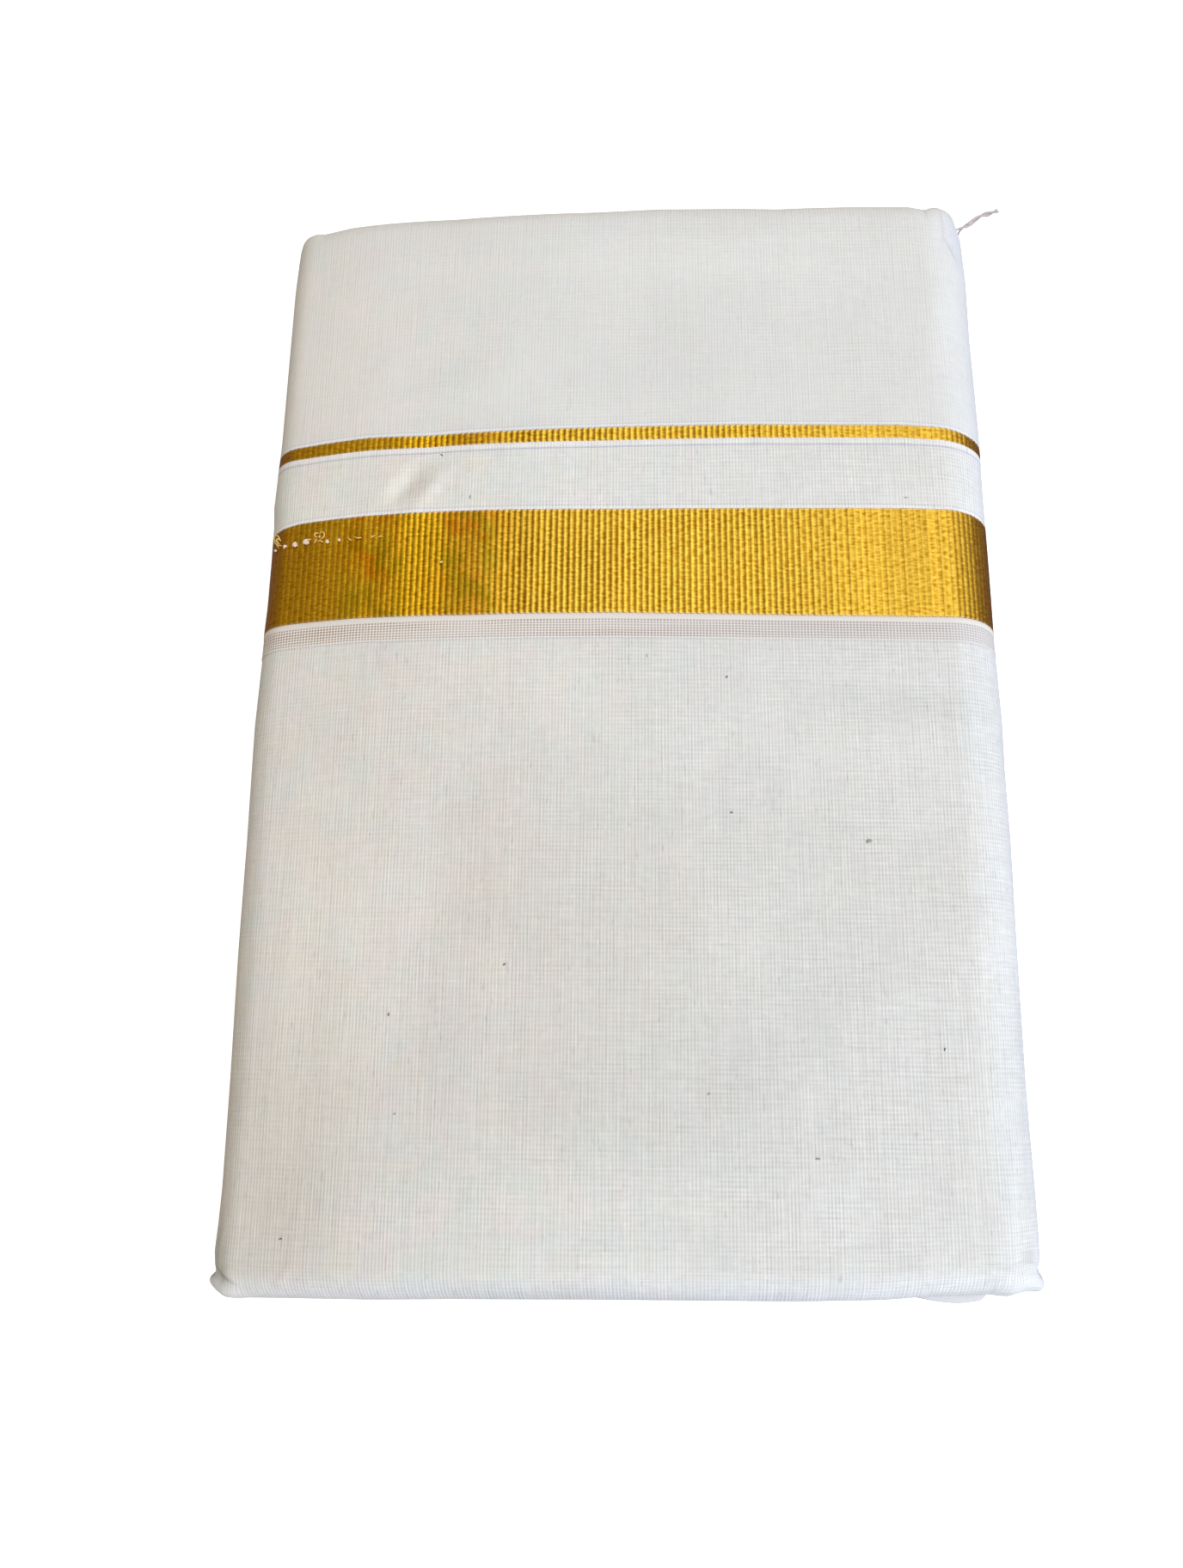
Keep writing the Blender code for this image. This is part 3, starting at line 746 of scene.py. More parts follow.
def cotton(name, base, show, lines=(), tints_and_light=(), shades=()):
    """Fine plain weave: uneven warp and weft lines, slubs and soft tints, weak or strong, with painted
    shade and painted light in soft patches, in folds and creases and where the cloth turns under.
    """
    tree = Tree(name, roughness=0.9)
    wander = tree.math("MULTIPLY", tree.noise(240.0, 30.0, 1.3), 2.2)
    warp = tree.waves(tree.across, WARP_PITCH, wander)
    own = tree.ramp(tree.noise(760.0, 40.0, 4.1, 2.0), 0.3, 0.7, 0.2, 1.2)
    warp = tree.math("MULTIPLY", tree.math("SUBTRACT", warp, 0.5), own)
    end = tree.ramp(tree.noise(1100.0, 40.0, 2.2, 3.0, 0.7), 0.28, 0.72)
    weft = tree.waves(tree.up, WEFT_PITCH, tree.math("MULTIPLY", tree.noise(30.0, 300.0, 7.7), 3.0))
    patch = tree.ramp(tree.noise(40.0, 56.0, 2.9, 4.0, 0.65), 0.40, 0.62, 0.25, 1.0)
    right = tree.ramp(tree.across, across_of(0.080), across_of(-0.100), 1.1, 0.55)
    weft = tree.math("MULTIPLY", tree.math("SUBTRACT", weft, 0.5), patch)
    weft = tree.math("MULTIPLY", weft, right)
    pick = tree.ramp(tree.noise(110.0, 1050.0, 6.8, 3.0, 0.7), 0.28, 0.72, -0.5, 0.5)
    pick = tree.math("MULTIPLY", pick, right)
    uneven = tree.ramp(tree.noise(330.0, 330.0, 5.9, 4.0, 0.65), 0.28, 0.72)
    slub = tree.ramp(tree.noise(170.0, 1900.0, 9.2, 1.0), 0.66, 0.76)
    nub = tree.ramp(tree.noise(1500.0, 160.0, 6.6, 1.0), 0.68, 0.78)
    dark = tree.ramp(tree.noise(1300.0, 200.0, 5.5, 1.0), 0.68, 0.78)
    height = tree.math("ADD", tree.math("ADD", warp, weft), tree.math("ADD", slub, end))
    level = base
    for thread, share in ((warp, 0.230), (end, 0.080), (weft, 0.085), (pick, 0.115),
                          (uneven, 0.070), (slub, 0.080), (nub, 0.080), (dark, -0.130)):
        level = tree.math("MULTIPLY_ADD", thread, share * show, level)
    cloudy = tree.noise(13.0, 15.0, 3.3, 2.0, 0.5)
    level = tree.math("MULTIPLY", level, tree.ramp(cloudy, 0.3, 0.7, 0.975, 1.025))
    patchy = tree.noise(46.0, 34.0, 7.9, 3.0, 0.6)
    level = tree.math("MULTIPLY", level,
                      tree.ramp(patchy, 0.3, 0.7, 1.0 - 0.022 * show, 1.0 + 0.022 * show))
    # Painted warm shade on the left side, away from the cool light from the right: the soft tints show
    # fully there and fade to an even grey at the right
    left = tree.ramp(tree.across, across_of(0.045), across_of(-0.075), 0.18 * show, show)
    tint = tree.mix(tree.ramp(tree.noise(92.0, 80.0, 8.8, 5.0, 0.62), 0.41, 0.59),
                    (0.757, 0.703, 0.694, 1.0), (0.692, 0.730, 0.703, 1.0))
    cream = tree.ramp(tree.noise(98.0, 85.0, 0.9, 5.0, 0.62), 0.45, 0.62, 0.0, 0.8)
    tint = tree.mix(cream, tint, (0.748, 0.729, 0.660, 1.0))
    tint = tree.mix(left, (0.723, 0.719, 0.703, 1.0), tint)
    # Painted light and shade in soft patches: cool ones are painted cool light, dim and light ones painted
    # shade and light, warm ones partly the cloth's own tint and partly painted warm shade
    for tone in tints_and_light:
        off = tree.nodes.new("ShaderNodeVectorMath")
        off.operation = "DISTANCE"
        tree.links.new(tree.place(1.0 / tone.half_x, 1.0 / tone.half_y), off.inputs[0])
        off.inputs[1].default_value = (across_of(tone.x) / tone.half_x, tone.y / tone.half_y, 0.0)
        near = tree.nodes.new("ShaderNodeMapRange")
        near.interpolation_type = "SMOOTHSTEP"
        for socket, value in zip(near.inputs, (off.outputs["Value"], 0.0, 1.6, 1.0, 0.0)):
            tree.feed(socket, value)
        share = near.outputs[0]
        tint = tree.mix(tree.math("MULTIPLY", share, abs(tone.warm)), tint,
                        WARM_TINT_AND_SHADE if tone.warm > 0 else COOL_LIGHT_TINT)
        level = tree.math("MULTIPLY", level, tree.math("MULTIPLY_ADD", share, -tone.dark, 1.0))
    # Painted shade in folds, creases and hollows, and painted highlights where dark is below 0
    for shade in shades:
        turn = math.radians(shade.turn)
        away = tree.math("SUBTRACT", across_of(shade.x), tree.across)
        beyond = tree.math("SUBTRACT", tree.up, shade.y)
        parts = []
        for along, over, half in ((math.cos(turn), math.sin(turn), shade.half_length),
                                  (-math.sin(turn), math.cos(turn), shade.half_width)):
            part = tree.math("MULTIPLY_ADD", beyond, over / half,
                             tree.math("MULTIPLY", away, along / half))
            parts.append(tree.math("MULTIPLY", part, part))
        spread = tree.math("SQRT", tree.math("ADD", parts[0], parts[1]))
        share = tree.ramp(spread, 0.2, 1.6, shade.dark, 0.0)
        level = tree.math("MULTIPLY", level, tree.math("SUBTRACT", 1.0, share))
    for centre, half, colour, share in lines:
        tint = tree.mix(tree.math("MULTIPLY", tree.band(tree.up, centre, half, 0.00025), share),
                        tint, colour)
    colour = tree.mix(1.0, tint, grey_of(tree, level), "MULTIPLY")
    # Painted shade where the cloth turns under at its folds
    colour = tree.mix(tree.told("turned_shade"), colour, tree.mix(1.0, colour, TURNED_SHADE_TINT, "MULTIPLY"))
    tree.shader.inputs["Specular IOR Level"].default_value = 0.25
    return tree.finish(colour, tree.bump(height, 0.00010, 0.5))


def grey_of(tree, level):
    """A level as a neutral colour."""
    node = tree.nodes.new("ShaderNodeCombineColor")
    for socket in node.inputs[:3]:
        tree.feed(socket, level)
    return node.outputs[0]


def sheer():
    """Open gauze beside the selvedge: white threads over brown and pinkish gaps."""
    tree = Tree("sheer_gauze", roughness=0.9)
    across = tree.waves(tree.across, WARP_PITCH, tree.math("MULTIPLY", tree.noise(300.0, 60.0, 1.3), 3.0))
    up = tree.waves(tree.up, GAUZE_PITCH, tree.math("MULTIPLY", tree.noise(60.0, 300.0, 2.3), 2.5))
    thread = tree.math("MAXIMUM", across, up)
    gap = tree.ramp(thread, 0.52, 0.90, 1.0, 0.0)
    left = tree.ramp(tree.across, across_of(0.060), across_of(-0.100))
    tone = tree.mix(left, (0.36, 0.31, 0.30, 1.0), (0.30, 0.195, 0.12, 1.0))
    tone = tree.mix(tree.ramp(tree.noise(60.0, 80.0, 5.1, 3.0), 0.4, 0.62, 0.0, 0.5),
                    tone, (0.38, 0.28, 0.25, 1.0))
    depth = tree.ramp(tree.noise(24.0, 260.0, 4.2, 3.0), 0.35, 0.65, 0.65, 1.0)
    colour = tree.mix(tree.math("MULTIPLY", gap, depth),
                      tree.mix(left, (0.71, 0.685, 0.67, 1.0), (0.82, 0.775, 0.725, 1.0)), tone)
    cord = tree.ramp(tree.up, WIDE_LOW_Y - CORD_WIDTH - 0.0003, WIDE_LOW_Y - CORD_WIDTH)
    colour = tree.mix(cord, colour, (0.73, 0.685, 0.64, 1.0))
    edge = tree.band(tree.up, SELVEDGE_Y, 0.0004, 0.0004)
    colour = tree.mix(tree.math("MULTIPLY", edge, 0.6), colour, (0.76, 0.75, 0.73, 1.0))
    tree.shader.inputs["Specular IOR Level"].default_value = 0.2
    return tree.finish(colour, tree.bump(thread, 0.0001, 0.5))


def zari(name, low, high, moire):
    """Gold yarn laid over warp ribs: bright beaded crests with painted glints, and brown grooves in painted
    shade.
    """
    tree = Tree(name, roughness=0.36, metallic=1.0)
    ribs = tree.told("crest")
    deep = tree.told("deep")
    bead = tree.noise(470.0, 1180.0, 3.1, 1.0, 0.5)
    curl = tree.noise(2100.0, 2600.0, 6.2, 2.0, 0.6)
    scale = tree.noise(330.0, 900.0, 8.4, 2.0, 0.6)
    crest = tree.math("MULTIPLY_ADD", tree.math("SUBTRACT", bead, 0.5), 1.05, ribs)
    beads = tree.math("ADD", tree.math("MULTIPLY", bead, 0.65), tree.math("MULTIPLY", curl, 0.35))
    # Painted glints on the beads of the gold yarn
    glint = tree.ramp(beads, 0.38, 0.62)
    gold = tree.mix(glint, (0.72, 0.41, 0.030, 1.0), (0.95, 0.66, 0.090, 1.0))
    orange = tree.ramp(tree.noise(100.0, 70.0, 1.7, 3.0, 0.6), 0.48, 0.60)
    green = tree.ramp(tree.noise(105.0, 75.0, 9.9, 3.0, 0.6), 0.48, 0.60)
    where = tree.math("MULTIPLY", tree.band(tree.across, MOIRE_ACROSS, 0.022, 0.010),
                      tree.ramp(deep, 0.17, 0.28))
    gold = tree.mix(tree.math("MULTIPLY", tree.math("MULTIPLY", orange, where), 0.60 * moire),
                    gold, (0.80, 0.27, 0.006, 1.0))
    gold = tree.mix(tree.math("MULTIPLY", tree.math("MULTIPLY", green, where), 0.45 * moire),
                    gold, (0.38, 0.36, 0.012, 1.0))
    # Painted shade in the grooves between the ribs: the gold darker and browner there
    groove_shade = tree.mix(tree.ramp(tree.noise(40.0, 60.0, 2.2), 0.35, 0.65),
                      (0.30, 0.135, 0.004, 1.0), (0.46, 0.225, 0.008, 1.0))
    colour = tree.mix(tree.ramp(crest, 0.10, 0.80), groove_shade, gold)
    own = tree.ramp(tree.noise(300.0, 5.0, 7.4, 2.0), 0.3, 0.7, 0.90, 1.08)
    colour = tree.mix(1.0, colour, grey_of(tree, own), "MULTIPLY")
    # Painted shade: the gold darker and browner where its tone is deepened, most at the side folds where it
    # turns away from the light
    colour = tree.mix(deep, colour,
                      tree.mix(1.0, colour, (0.28, 0.11, 0.02, 1.0), "MULTIPLY"))
    # Painted shade on the left part of the bands, away from the light: the gold deeper and more saturated
    # there
    left = tree.ramp(tree.across, across_of(-0.025), across_of(-0.065), 0.0, 0.85)
    colour = tree.mix(left, colour, tree.mix(1.0, colour, (1.02, 0.93, 0.22, 1.0), "MULTIPLY"))
    off = tree.math("ABSOLUTE", tree.math("SUBTRACT", tree.up, (low + high) / 2))
    edge = tree.ramp(off, (high - low) / 2 - 0.0007, (high - low) / 2 - 0.0001)
    tooth = tree.math("MULTIPLY", edge, tree.ramp(crest, 0.35, 0.95, 0.85, 0.25))
    colour = tree.mix(tooth, colour, (0.80, 0.66, 0.42, 1.0))
    normal = tree.bump(tree.math("ADD", beads, tree.math("MULTIPLY", scale, 0.6)), 0.00024, 0.7)
    return tree.finish(colour, normal, tree.ramp(curl, 0.3, 0.7, 0.32, 0.50))


def plain(name, colour, roughness=0.85, metallic=0.0, mottle=0.12, fine=2500.0):
    """Yarn, lint or a fold edge: one colour, softly mottled."""
    material = bpy.data.materials.new(name)
    material.use_nodes = True
    nodes, links = material.node_tree.nodes, material.node_tree.links
    shader = nodes["Principled BSDF"]
    shader.inputs["Roughness"].default_value = roughness
    shader.inputs["Metallic"].default_value = metallic
    place = nodes.new("ShaderNodeTexCoord")
    noise = nodes.new("ShaderNodeTexNoise")
    noise.inputs["Scale"].default_value = fine
    links.new(place.outputs["Object"], noise.inputs["Vector"])
    mix = nodes.new("ShaderNodeMix")
    mix.data_type = "RGBA"
    mix.inputs[6].default_value = tuple(c * (1.0 - mottle) for c in colour[:3]) + (1.0,)
    mix.inputs[7].default_value = tuple(min(1.0, c * (1.0 + mottle)) for c in colour[:3]) + (1.0,)
    links.new(noise.outputs["Fac"], mix.inputs[0])
    links.new(mix.outputs[2], shader.inputs["Base Color"])
    bump = nodes.new("ShaderNodeBump")
    bump.inputs["Distance"].default_value = 0.0001
    bump.inputs["Strength"].default_value = 0.5
    links.new(noise.outputs["Fac"], bump.inputs["Height"])
    links.new(bump.outputs[0], shader.inputs["Normal"])
    return material


plain_section = Section(26, 150, 22, 60)


def across_of(x):
    """How far round the pack a place on its top lies."""
    return float(np.interp(-x, -plain_section.x[13:187], plain_section.along[13:187]))


MOIRE_ACROSS = across_of(-0.068)

# Warm tint of the soft patches: partly the cloth's own, partly painted warm shade
WARM_TINT_AND_SHADE = (0.755, 0.700, 0.625, 1.0)
# Cool tint of the soft patches: painted cool light
COOL_LIGHT_TINT = (0.695, 0.712, 0.790, 1.0)
# Colour of the painted shade where the cloth turns under at its folds
TURNED_SHADE_TINT = (0.66, 0.63, 0.69, 1.0)
WHITE_LINE = (0.80, 0.785, 0.78, 1.0)
BLUE_LINE = (0.50, 0.50, 0.60, 1.0)
body_cotton = cotton("body_cotton", 0.857, 1.0, tints_and_light=BODY_TINTS_AND_LIGHT, shades=BODY_SHADES)
flap_cotton = cotton("flap_cotton", 0.929, 0.52, (
    (THIN_HIGH_Y, EDGING_WIDTH, WHITE_LINE, 0.9),
    (THIN_HIGH_Y + 0.0013, 0.0001, BLUE_LINE, 0.35),
), FLAP_TINTS_AND_LIGHT, FLAP_SHADES)
gap_cotton = cotton("gap_cotton", 0.893, 1.0, (
    (WIDE_HIGH_Y, EDGING_WIDTH, WHITE_LINE, 0.9),
    (WIDE_HIGH_Y + 0.0014, 0.0001, BLUE_LINE, 0.30),
    (THIN_LOW_Y, EDGING_WIDTH * 1.6, WHITE_LINE, 0.9),
    (THIN_LOW_Y - 0.0024, 0.00012, BLUE_LINE, 0.85),
), FLAP_TINTS_AND_LIGHT)
gauze = sheer()
wide_gold = zari("wide_gold_zari", WIDE_LOW_Y, WIDE_HIGH_Y, 1.0)
thin_gold = zari("thin_gold_zari", THIN_LOW_Y, THIN_HIGH_Y, 0.0)
fold_cotton = plain("fold_edge_cotton", (0.71, 0.71, 0.73, 1.0), mottle=0.10, fine=1400.0)


def near_steps():
    """Distances from an end at which the curl has a row of points."""
    turns = np.linspace(0.0, 1.0, 15)
    return [float(END_ROUNDING * (1.0 - math.sin(turn * math.pi / 2))) for turn in turns]


def build_body():
    """The outer turn below the selvedge, down to the near fold."""
    section = plain_section
    rows, ups = [], []
    for y in np.linspace(SELVEDGE_Y + TUCK, NEAR_END + END_ROUNDING, 92)[:-1]:
        depth = (BODY_DEPTH + 0.0003 * (y > SELVEDGE_Y)) * section.lying()
        shift = woven_shift(section.x, y) if y > SELVEDGE_Y - LINE_FADE else 0.0
        row = skin(section, y, depth)
        row[:, 1] += shift
        rows.append(row)
        ups.append(y)
    for step in near_steps():
        rows.append(end_row(section, NEAR_END, BODY_DEPTH, step))
        ups.append(NEAR_END + step * CURL_STRETCH)
    for step in INSIDE_STEPS:
        rows.append(end_row(section, NEAR_END, WALL, step, outer=False))
        ups.append(NEAR_END - WALL)
    rows.append(skin(section, SELVEDGE_Y + TUCK, np.full(len(section.x), WALL), 0.0))
    ups.append(NEAR_END - WALL)
    piece = cloth_mesh("body_cloth", rows, ups, section, body_cotton)
    return show(piece, "body_ply")


def build_flap():
    """The outer turn beyond the thin border, up to the far fold."""
    section = plain_section
    rows, ups = [], []
    for y in np.linspace(THIN_HIGH_Y, FAR_END - END_ROUNDING, 52)[:-1]:
        ridge = 0.00012 * math.exp(-((y - THIN_HIGH_Y - 0.0005) / 0.0005) ** 2)
        row = skin(section, y, (UPPER_DEPTH - ridge) * section.lying())
        row[:, 1] += woven_shift(section.x, y)
        rows.append(row)
        ups.append(y)
    for step in near_steps():
        rows.append(end_row(section, FAR_END, UPPER_DEPTH, step))
        ups.append(FAR_END - step * CURL_STRETCH)
    for step in INSIDE_STEPS:
        rows.append(end_row(section, FAR_END, WALL, step, outer=False))
        ups.append(FAR_END + WALL)
    row = skin(section, THIN_HIGH_Y, np.full(len(section.x), WALL), 0.0)
    row[:, 1] += woven_shift(section.x, THIN_HIGH_Y)
    rows.append(row)
    ups.append(THIN_HIGH_Y)
    piece = cloth_mesh("flap_cloth_look", rows, ups, section, flap_cotton)
    return show(piece, "flap_cloth")


def build_strip(name, node, low, high, count, depth_at, material, section, slot):
    """A strip of the upper ply, all round the pack, between two woven lines."""
    rows, ups = [], []
    levels = np.concatenate(([low], np.linspace(low + EDGE_ROW, high - EDGE_ROW, count - 2), [high]))
    for y in levels:
        row = skin(section, y, depth_at(y, section) * section.lying())
        row[:, 1] += woven_shift(section.x, y)
        rows.append(row)
        ups.append(y)
    for y in (high, low):
        row = skin(section, y, np.full(len(section.x), WALL), 0.0)
        row[:, 1] += woven_shift(section.x, y)
        rows.append(row)
        ups.append(y)
    piece = cloth_mesh(name, rows, ups, section, material)
    return show(piece, node, slot=slot)


def gap_depth(y, section):
    """The cloth between the borders, with a dense line of edging beside each."""
    ridge = math.exp(-((y - WIDE_HIGH_Y - 0.0005) / 0.0005) ** 2)
    ridge += math.exp(-((y - THIN_LOW_Y + 0.0007) / 0.0007) ** 2)
    return np.full(len(section.x), UPPER_DEPTH - 0.00013 * ridge)


def gauze_depth(y, section):
    """The strip beside the selvedge: a cord, then thin gauze, then the rolled edge."""
    cord = math.exp(-((y - WIDE_LOW_Y + CORD_WIDTH / 2) / (CORD_WIDTH * 0.4)) ** 4)
    edge = math.exp(-((y - SELVEDGE_Y - 0.0003) / 0.0004) ** 2)
    return np.full(len(section.x), 0.00030 - 0.00022 * cord - 0.00008 * edge)


def ribbed_section():
    """A fine section with several points to each warp rib."""
    right = round(math.pi * RIGHT_FOLD_RADIUS / RIB_PITCH) * RIB_POINTS
    lean = LEFT_FOLD_SWEEP - math.pi / 2
    start_x = LEFT_CENTRE_X - LEFT_FOLD_RADIUS * math.cos(lean)
    top = round((RIGHT_CENTRE_X - start_x) / RIB_PITCH) * RIB_POINTS
    left = round(LEFT_FOLD_SWEEP * LEFT_FOLD_RADIUS / RIB_PITCH) * RIB_POINTS
    return Section(right, top, left, 96)


def rib_shares(section):
    """How far up its rib each point round the pack lies, and how strongly the rib shows."""
    place = np.arange(len(section.x)) / RIB_POINTS
    return np.sin(math.pi * (place - np.floor(place))), column_of(GOLD_STEPS, "x", "ribs", section.x)


def rib_depth(y, section):
    """Rounded ribs of uneven height with sharp grooves between them."""
    crest, strength = rib_shares(section)
    rib = np.floor(np.arange(len(section.x)) / RIB_POINTS)
    own = 0.5 + 0.5 * np.sin(rib * 12.9898 + 4.1) * np.sin(rib * 3.7)
    depth = RIB_HEIGHT * (0.12 + 0.88 * strength) * (1.0 - crest) ** 1.3 + 0.00008 * own
    return np.where(section.facing < -0.95, 0.0, depth)


def add_crests(piece, section, row_count):
    """Tell the gold finish where its ribs' crests are, and how far painted shade darkens its tone."""
    crest, strength = rib_shares(section)
    deep = column_of(GOLD_STEPS, "x", "deep", section.x)
    for name, column in (("crest", 1.0 - (1.0 - crest) * strength), ("deep", deep)):
        layer = piece.data.attributes.new(name, "FLOAT", "POINT")
        layer.data.foreach_set("value", np.tile(column, row_count).astype(np.float32))


def build_turns():
    """The hidden turns, with their folded edges layered in both mouths."""
    section = Section(20, 96, 18, 40)
    lip = WALL + GAP

    def mouth(end, side):
        outward = math.copysign(1.0, end)
        rim = section.by_facing(TOP_DROP_SHARE * section.half, SIDE_DROP,
                                UNDER_DROP_SHARE * section.half) + GAP
        rows = []
        for turn in range(TURN_COUNT):
            crest = 0.0008 + 0.0006 * math.sin(2.4 * turn + (0.4 if side == "near" else 2.1))
            for part, fall in ((0.08, 0.0024), (0.22, 0.0004), (0.42, 0.0), (0.52, 0.0006),
                               (0.62, 0.0), (0.82, 0.0005), (0.96, 0.0024)):
                depth = rim + (section.half - rim) * (turn + part) / TURN_COUNT
                wave = 0.0004 * np.sin(math.tau * section.spine_x / 0.071 + turn * 1.7)
                wave += 0.0003 * np.sin(math.tau * section.spine_x / 0.027 + turn * 2.9)
                back = crest + fall + 0.0006 + wave
                if turn == 0 and side == "near":
                    look = np.clip((section.x - 0.083) / 0.0280, 0.0, 1.0)
                    back = back - 0.0036 * np.sin(math.pi * look) ** 0.5 * (section.facing > 0)
                rows.append(skin(section, end - outward * back, depth, 0.0))
        return rows

    def inside(end):
        rows = [end_row(section, end, lip, step, outer=False) for step in (0.011, 0.005, 0.0015)]
        rim = section.by_facing(TOP_DROP_SHARE * section.half, SIDE_DROP,
                                UNDER_DROP_SHARE * section.half) + GAP
        rows.append(skin(section, end - math.copysign(lip, end), rim, 0.0))
        return rows

    near = inside(NEAR_END) + mouth(NEAR_END, "near")
    far = inside(FAR_END) + mouth(FAR_END, "far")
    rows = near[::-1] + far
    ups = [float(row[:, 1].mean()) for row in rows]
    piece = cloth_mesh("hidden_turns", rows, ups, section, fold_cotton, ring=False)
    return show(piece, "folded_core")


def tube(points, radius, sides=8, taper=0.0):
    """Points and faces of a round thread along a line."""
    points = np.asarray(points, float)
    ahead = np.gradient(points, axis=0)
    ahead /= np.linalg.norm(ahead, axis=1)[:, None]
    up = np.array((0.0, 0.0, 1.0))
    verts, faces = [], []
    for index, (point, way) in enumerate(zip(points, ahead)):
        side = np.cross(way, up)
        length = np.linalg.norm(side)
        side = side / length if length > 1e-6 else np.array((1.0, 0.0, 0.0))
        over = np.cross(side, way)
        share = index / (len(points) - 1)
        wide = radius * (1.0 - taper * abs(2 * share - 1) ** 3)
        for step in range(sides):
            turn = math.tau * step / sides
            verts.append(point + wide * (math.cos(turn) * side + math.sin(turn) * over))
    for ring in range(len(points) - 1):
        for step in range(sides):
            after = (step + 1) % sides
            faces.append((ring * sides + step, ring * sides + after,
                          (ring + 1) * sides + after, (ring + 1) * sides + step))
    faces.append(tuple(range(sides))[::-1])
    faces.append(tuple((len(points) - 1) * sides + step for step in range(sides)))
    return verts, faces


def joined(name, parts, material):
    """One mesh from several threads or specks."""
    verts, faces = [], []
    for part_verts, part_faces in parts:
        start = len(verts)
        verts += [tuple(v) for v in part_verts]
        faces += [tuple(start + i for i in face) for face in part_faces]
    mesh = bpy.data.meshes.new(name)
    mesh.from_pydata(verts, [], faces)
    mesh.validate()
    mesh.shade_smooth()
    mesh.materials.append(material)
    piece = bpy.data.objects.new(name, mesh)
    bpy.context.scene.collection.objects.link(piece)
    return piece


def curve_through(points, count):
    """A smooth line through a few points."""
    points = np.asarray(points, float)
    keys = np.arange(len(points))
    wanted = np.linspace(0, len(points) - 1, count)
    line = []
    for value in wanted:
        i = min(int(value), len(points) - 2)
        t = value - i
        p0, p1, p2, p3 = (points[np.clip(i + k, 0, keys[-1])] for k in (-1, 0, 1, 2))
        line.append(0.5 * (2 * p1 + (p2 - p0) * t + (2 * p0 - 5 * p1 + 4 * p2 - p3) * t ** 2
                           + (3 * p1 - p0 - 3 * p2 + p3) * t ** 3))
    return np.array(line)


def surface_at(x, y, depth=0.0):
    """A point of the pack's top or folds, above a place in plan."""
    row = skin(plain_section, y, np.full(len(plain_section.x), depth))
    upper = plain_section.facing > -0.2
    xs, zs = row[upper, 0], row[upper, 2]
    order = np.argsort(xs)
    return np.array((x, y, float(np.interp(x, xs[order], zs[order]))))


def build_yarn():
    """The loose two-ply yarn at the far right corner."""
    root = np.array(YARN_ROOT)
    line = curve_through([root + MM * np.array((s.out, s.along, -s.down)) for s in YARN_STEPS], 70)
    share = np.linspace(0.0, 1.0, len(line))
    parts = []
    for strand in (0, 1):
        turn = 0.4 + share * math.tau * 1.5 + math.pi * strand
        fray = 0.00048 + 0.0004 * np.clip(0.12 - share, 0.0, 1.0) / 0.12
        offset = np.stack((np.cos(turn) * -0.6, np.cos(turn) * 0.8, np.sin(turn)), 1) * fray[:, None]
        parts.append(tube(line + offset, 0.00048, 8, 0.30))
    piece = joined("loose_two_ply_yarn", parts, plain("yarn_cotton", (0.52, 0.46, 0.45, 1.0), mottle=0.25))
    return show(piece, "loose_yarn")


def above(x, y, height):
    """A point at a height over the cloth, square to it."""
    base = surface_at(x, y)
    slope = surface_at(x + 0.0004, y) - surface_at(x - 0.0004, y)
    up = np.array((-slope[2], 0.0, slope[0]))
    return base + up * height / np.linalg.norm(up)


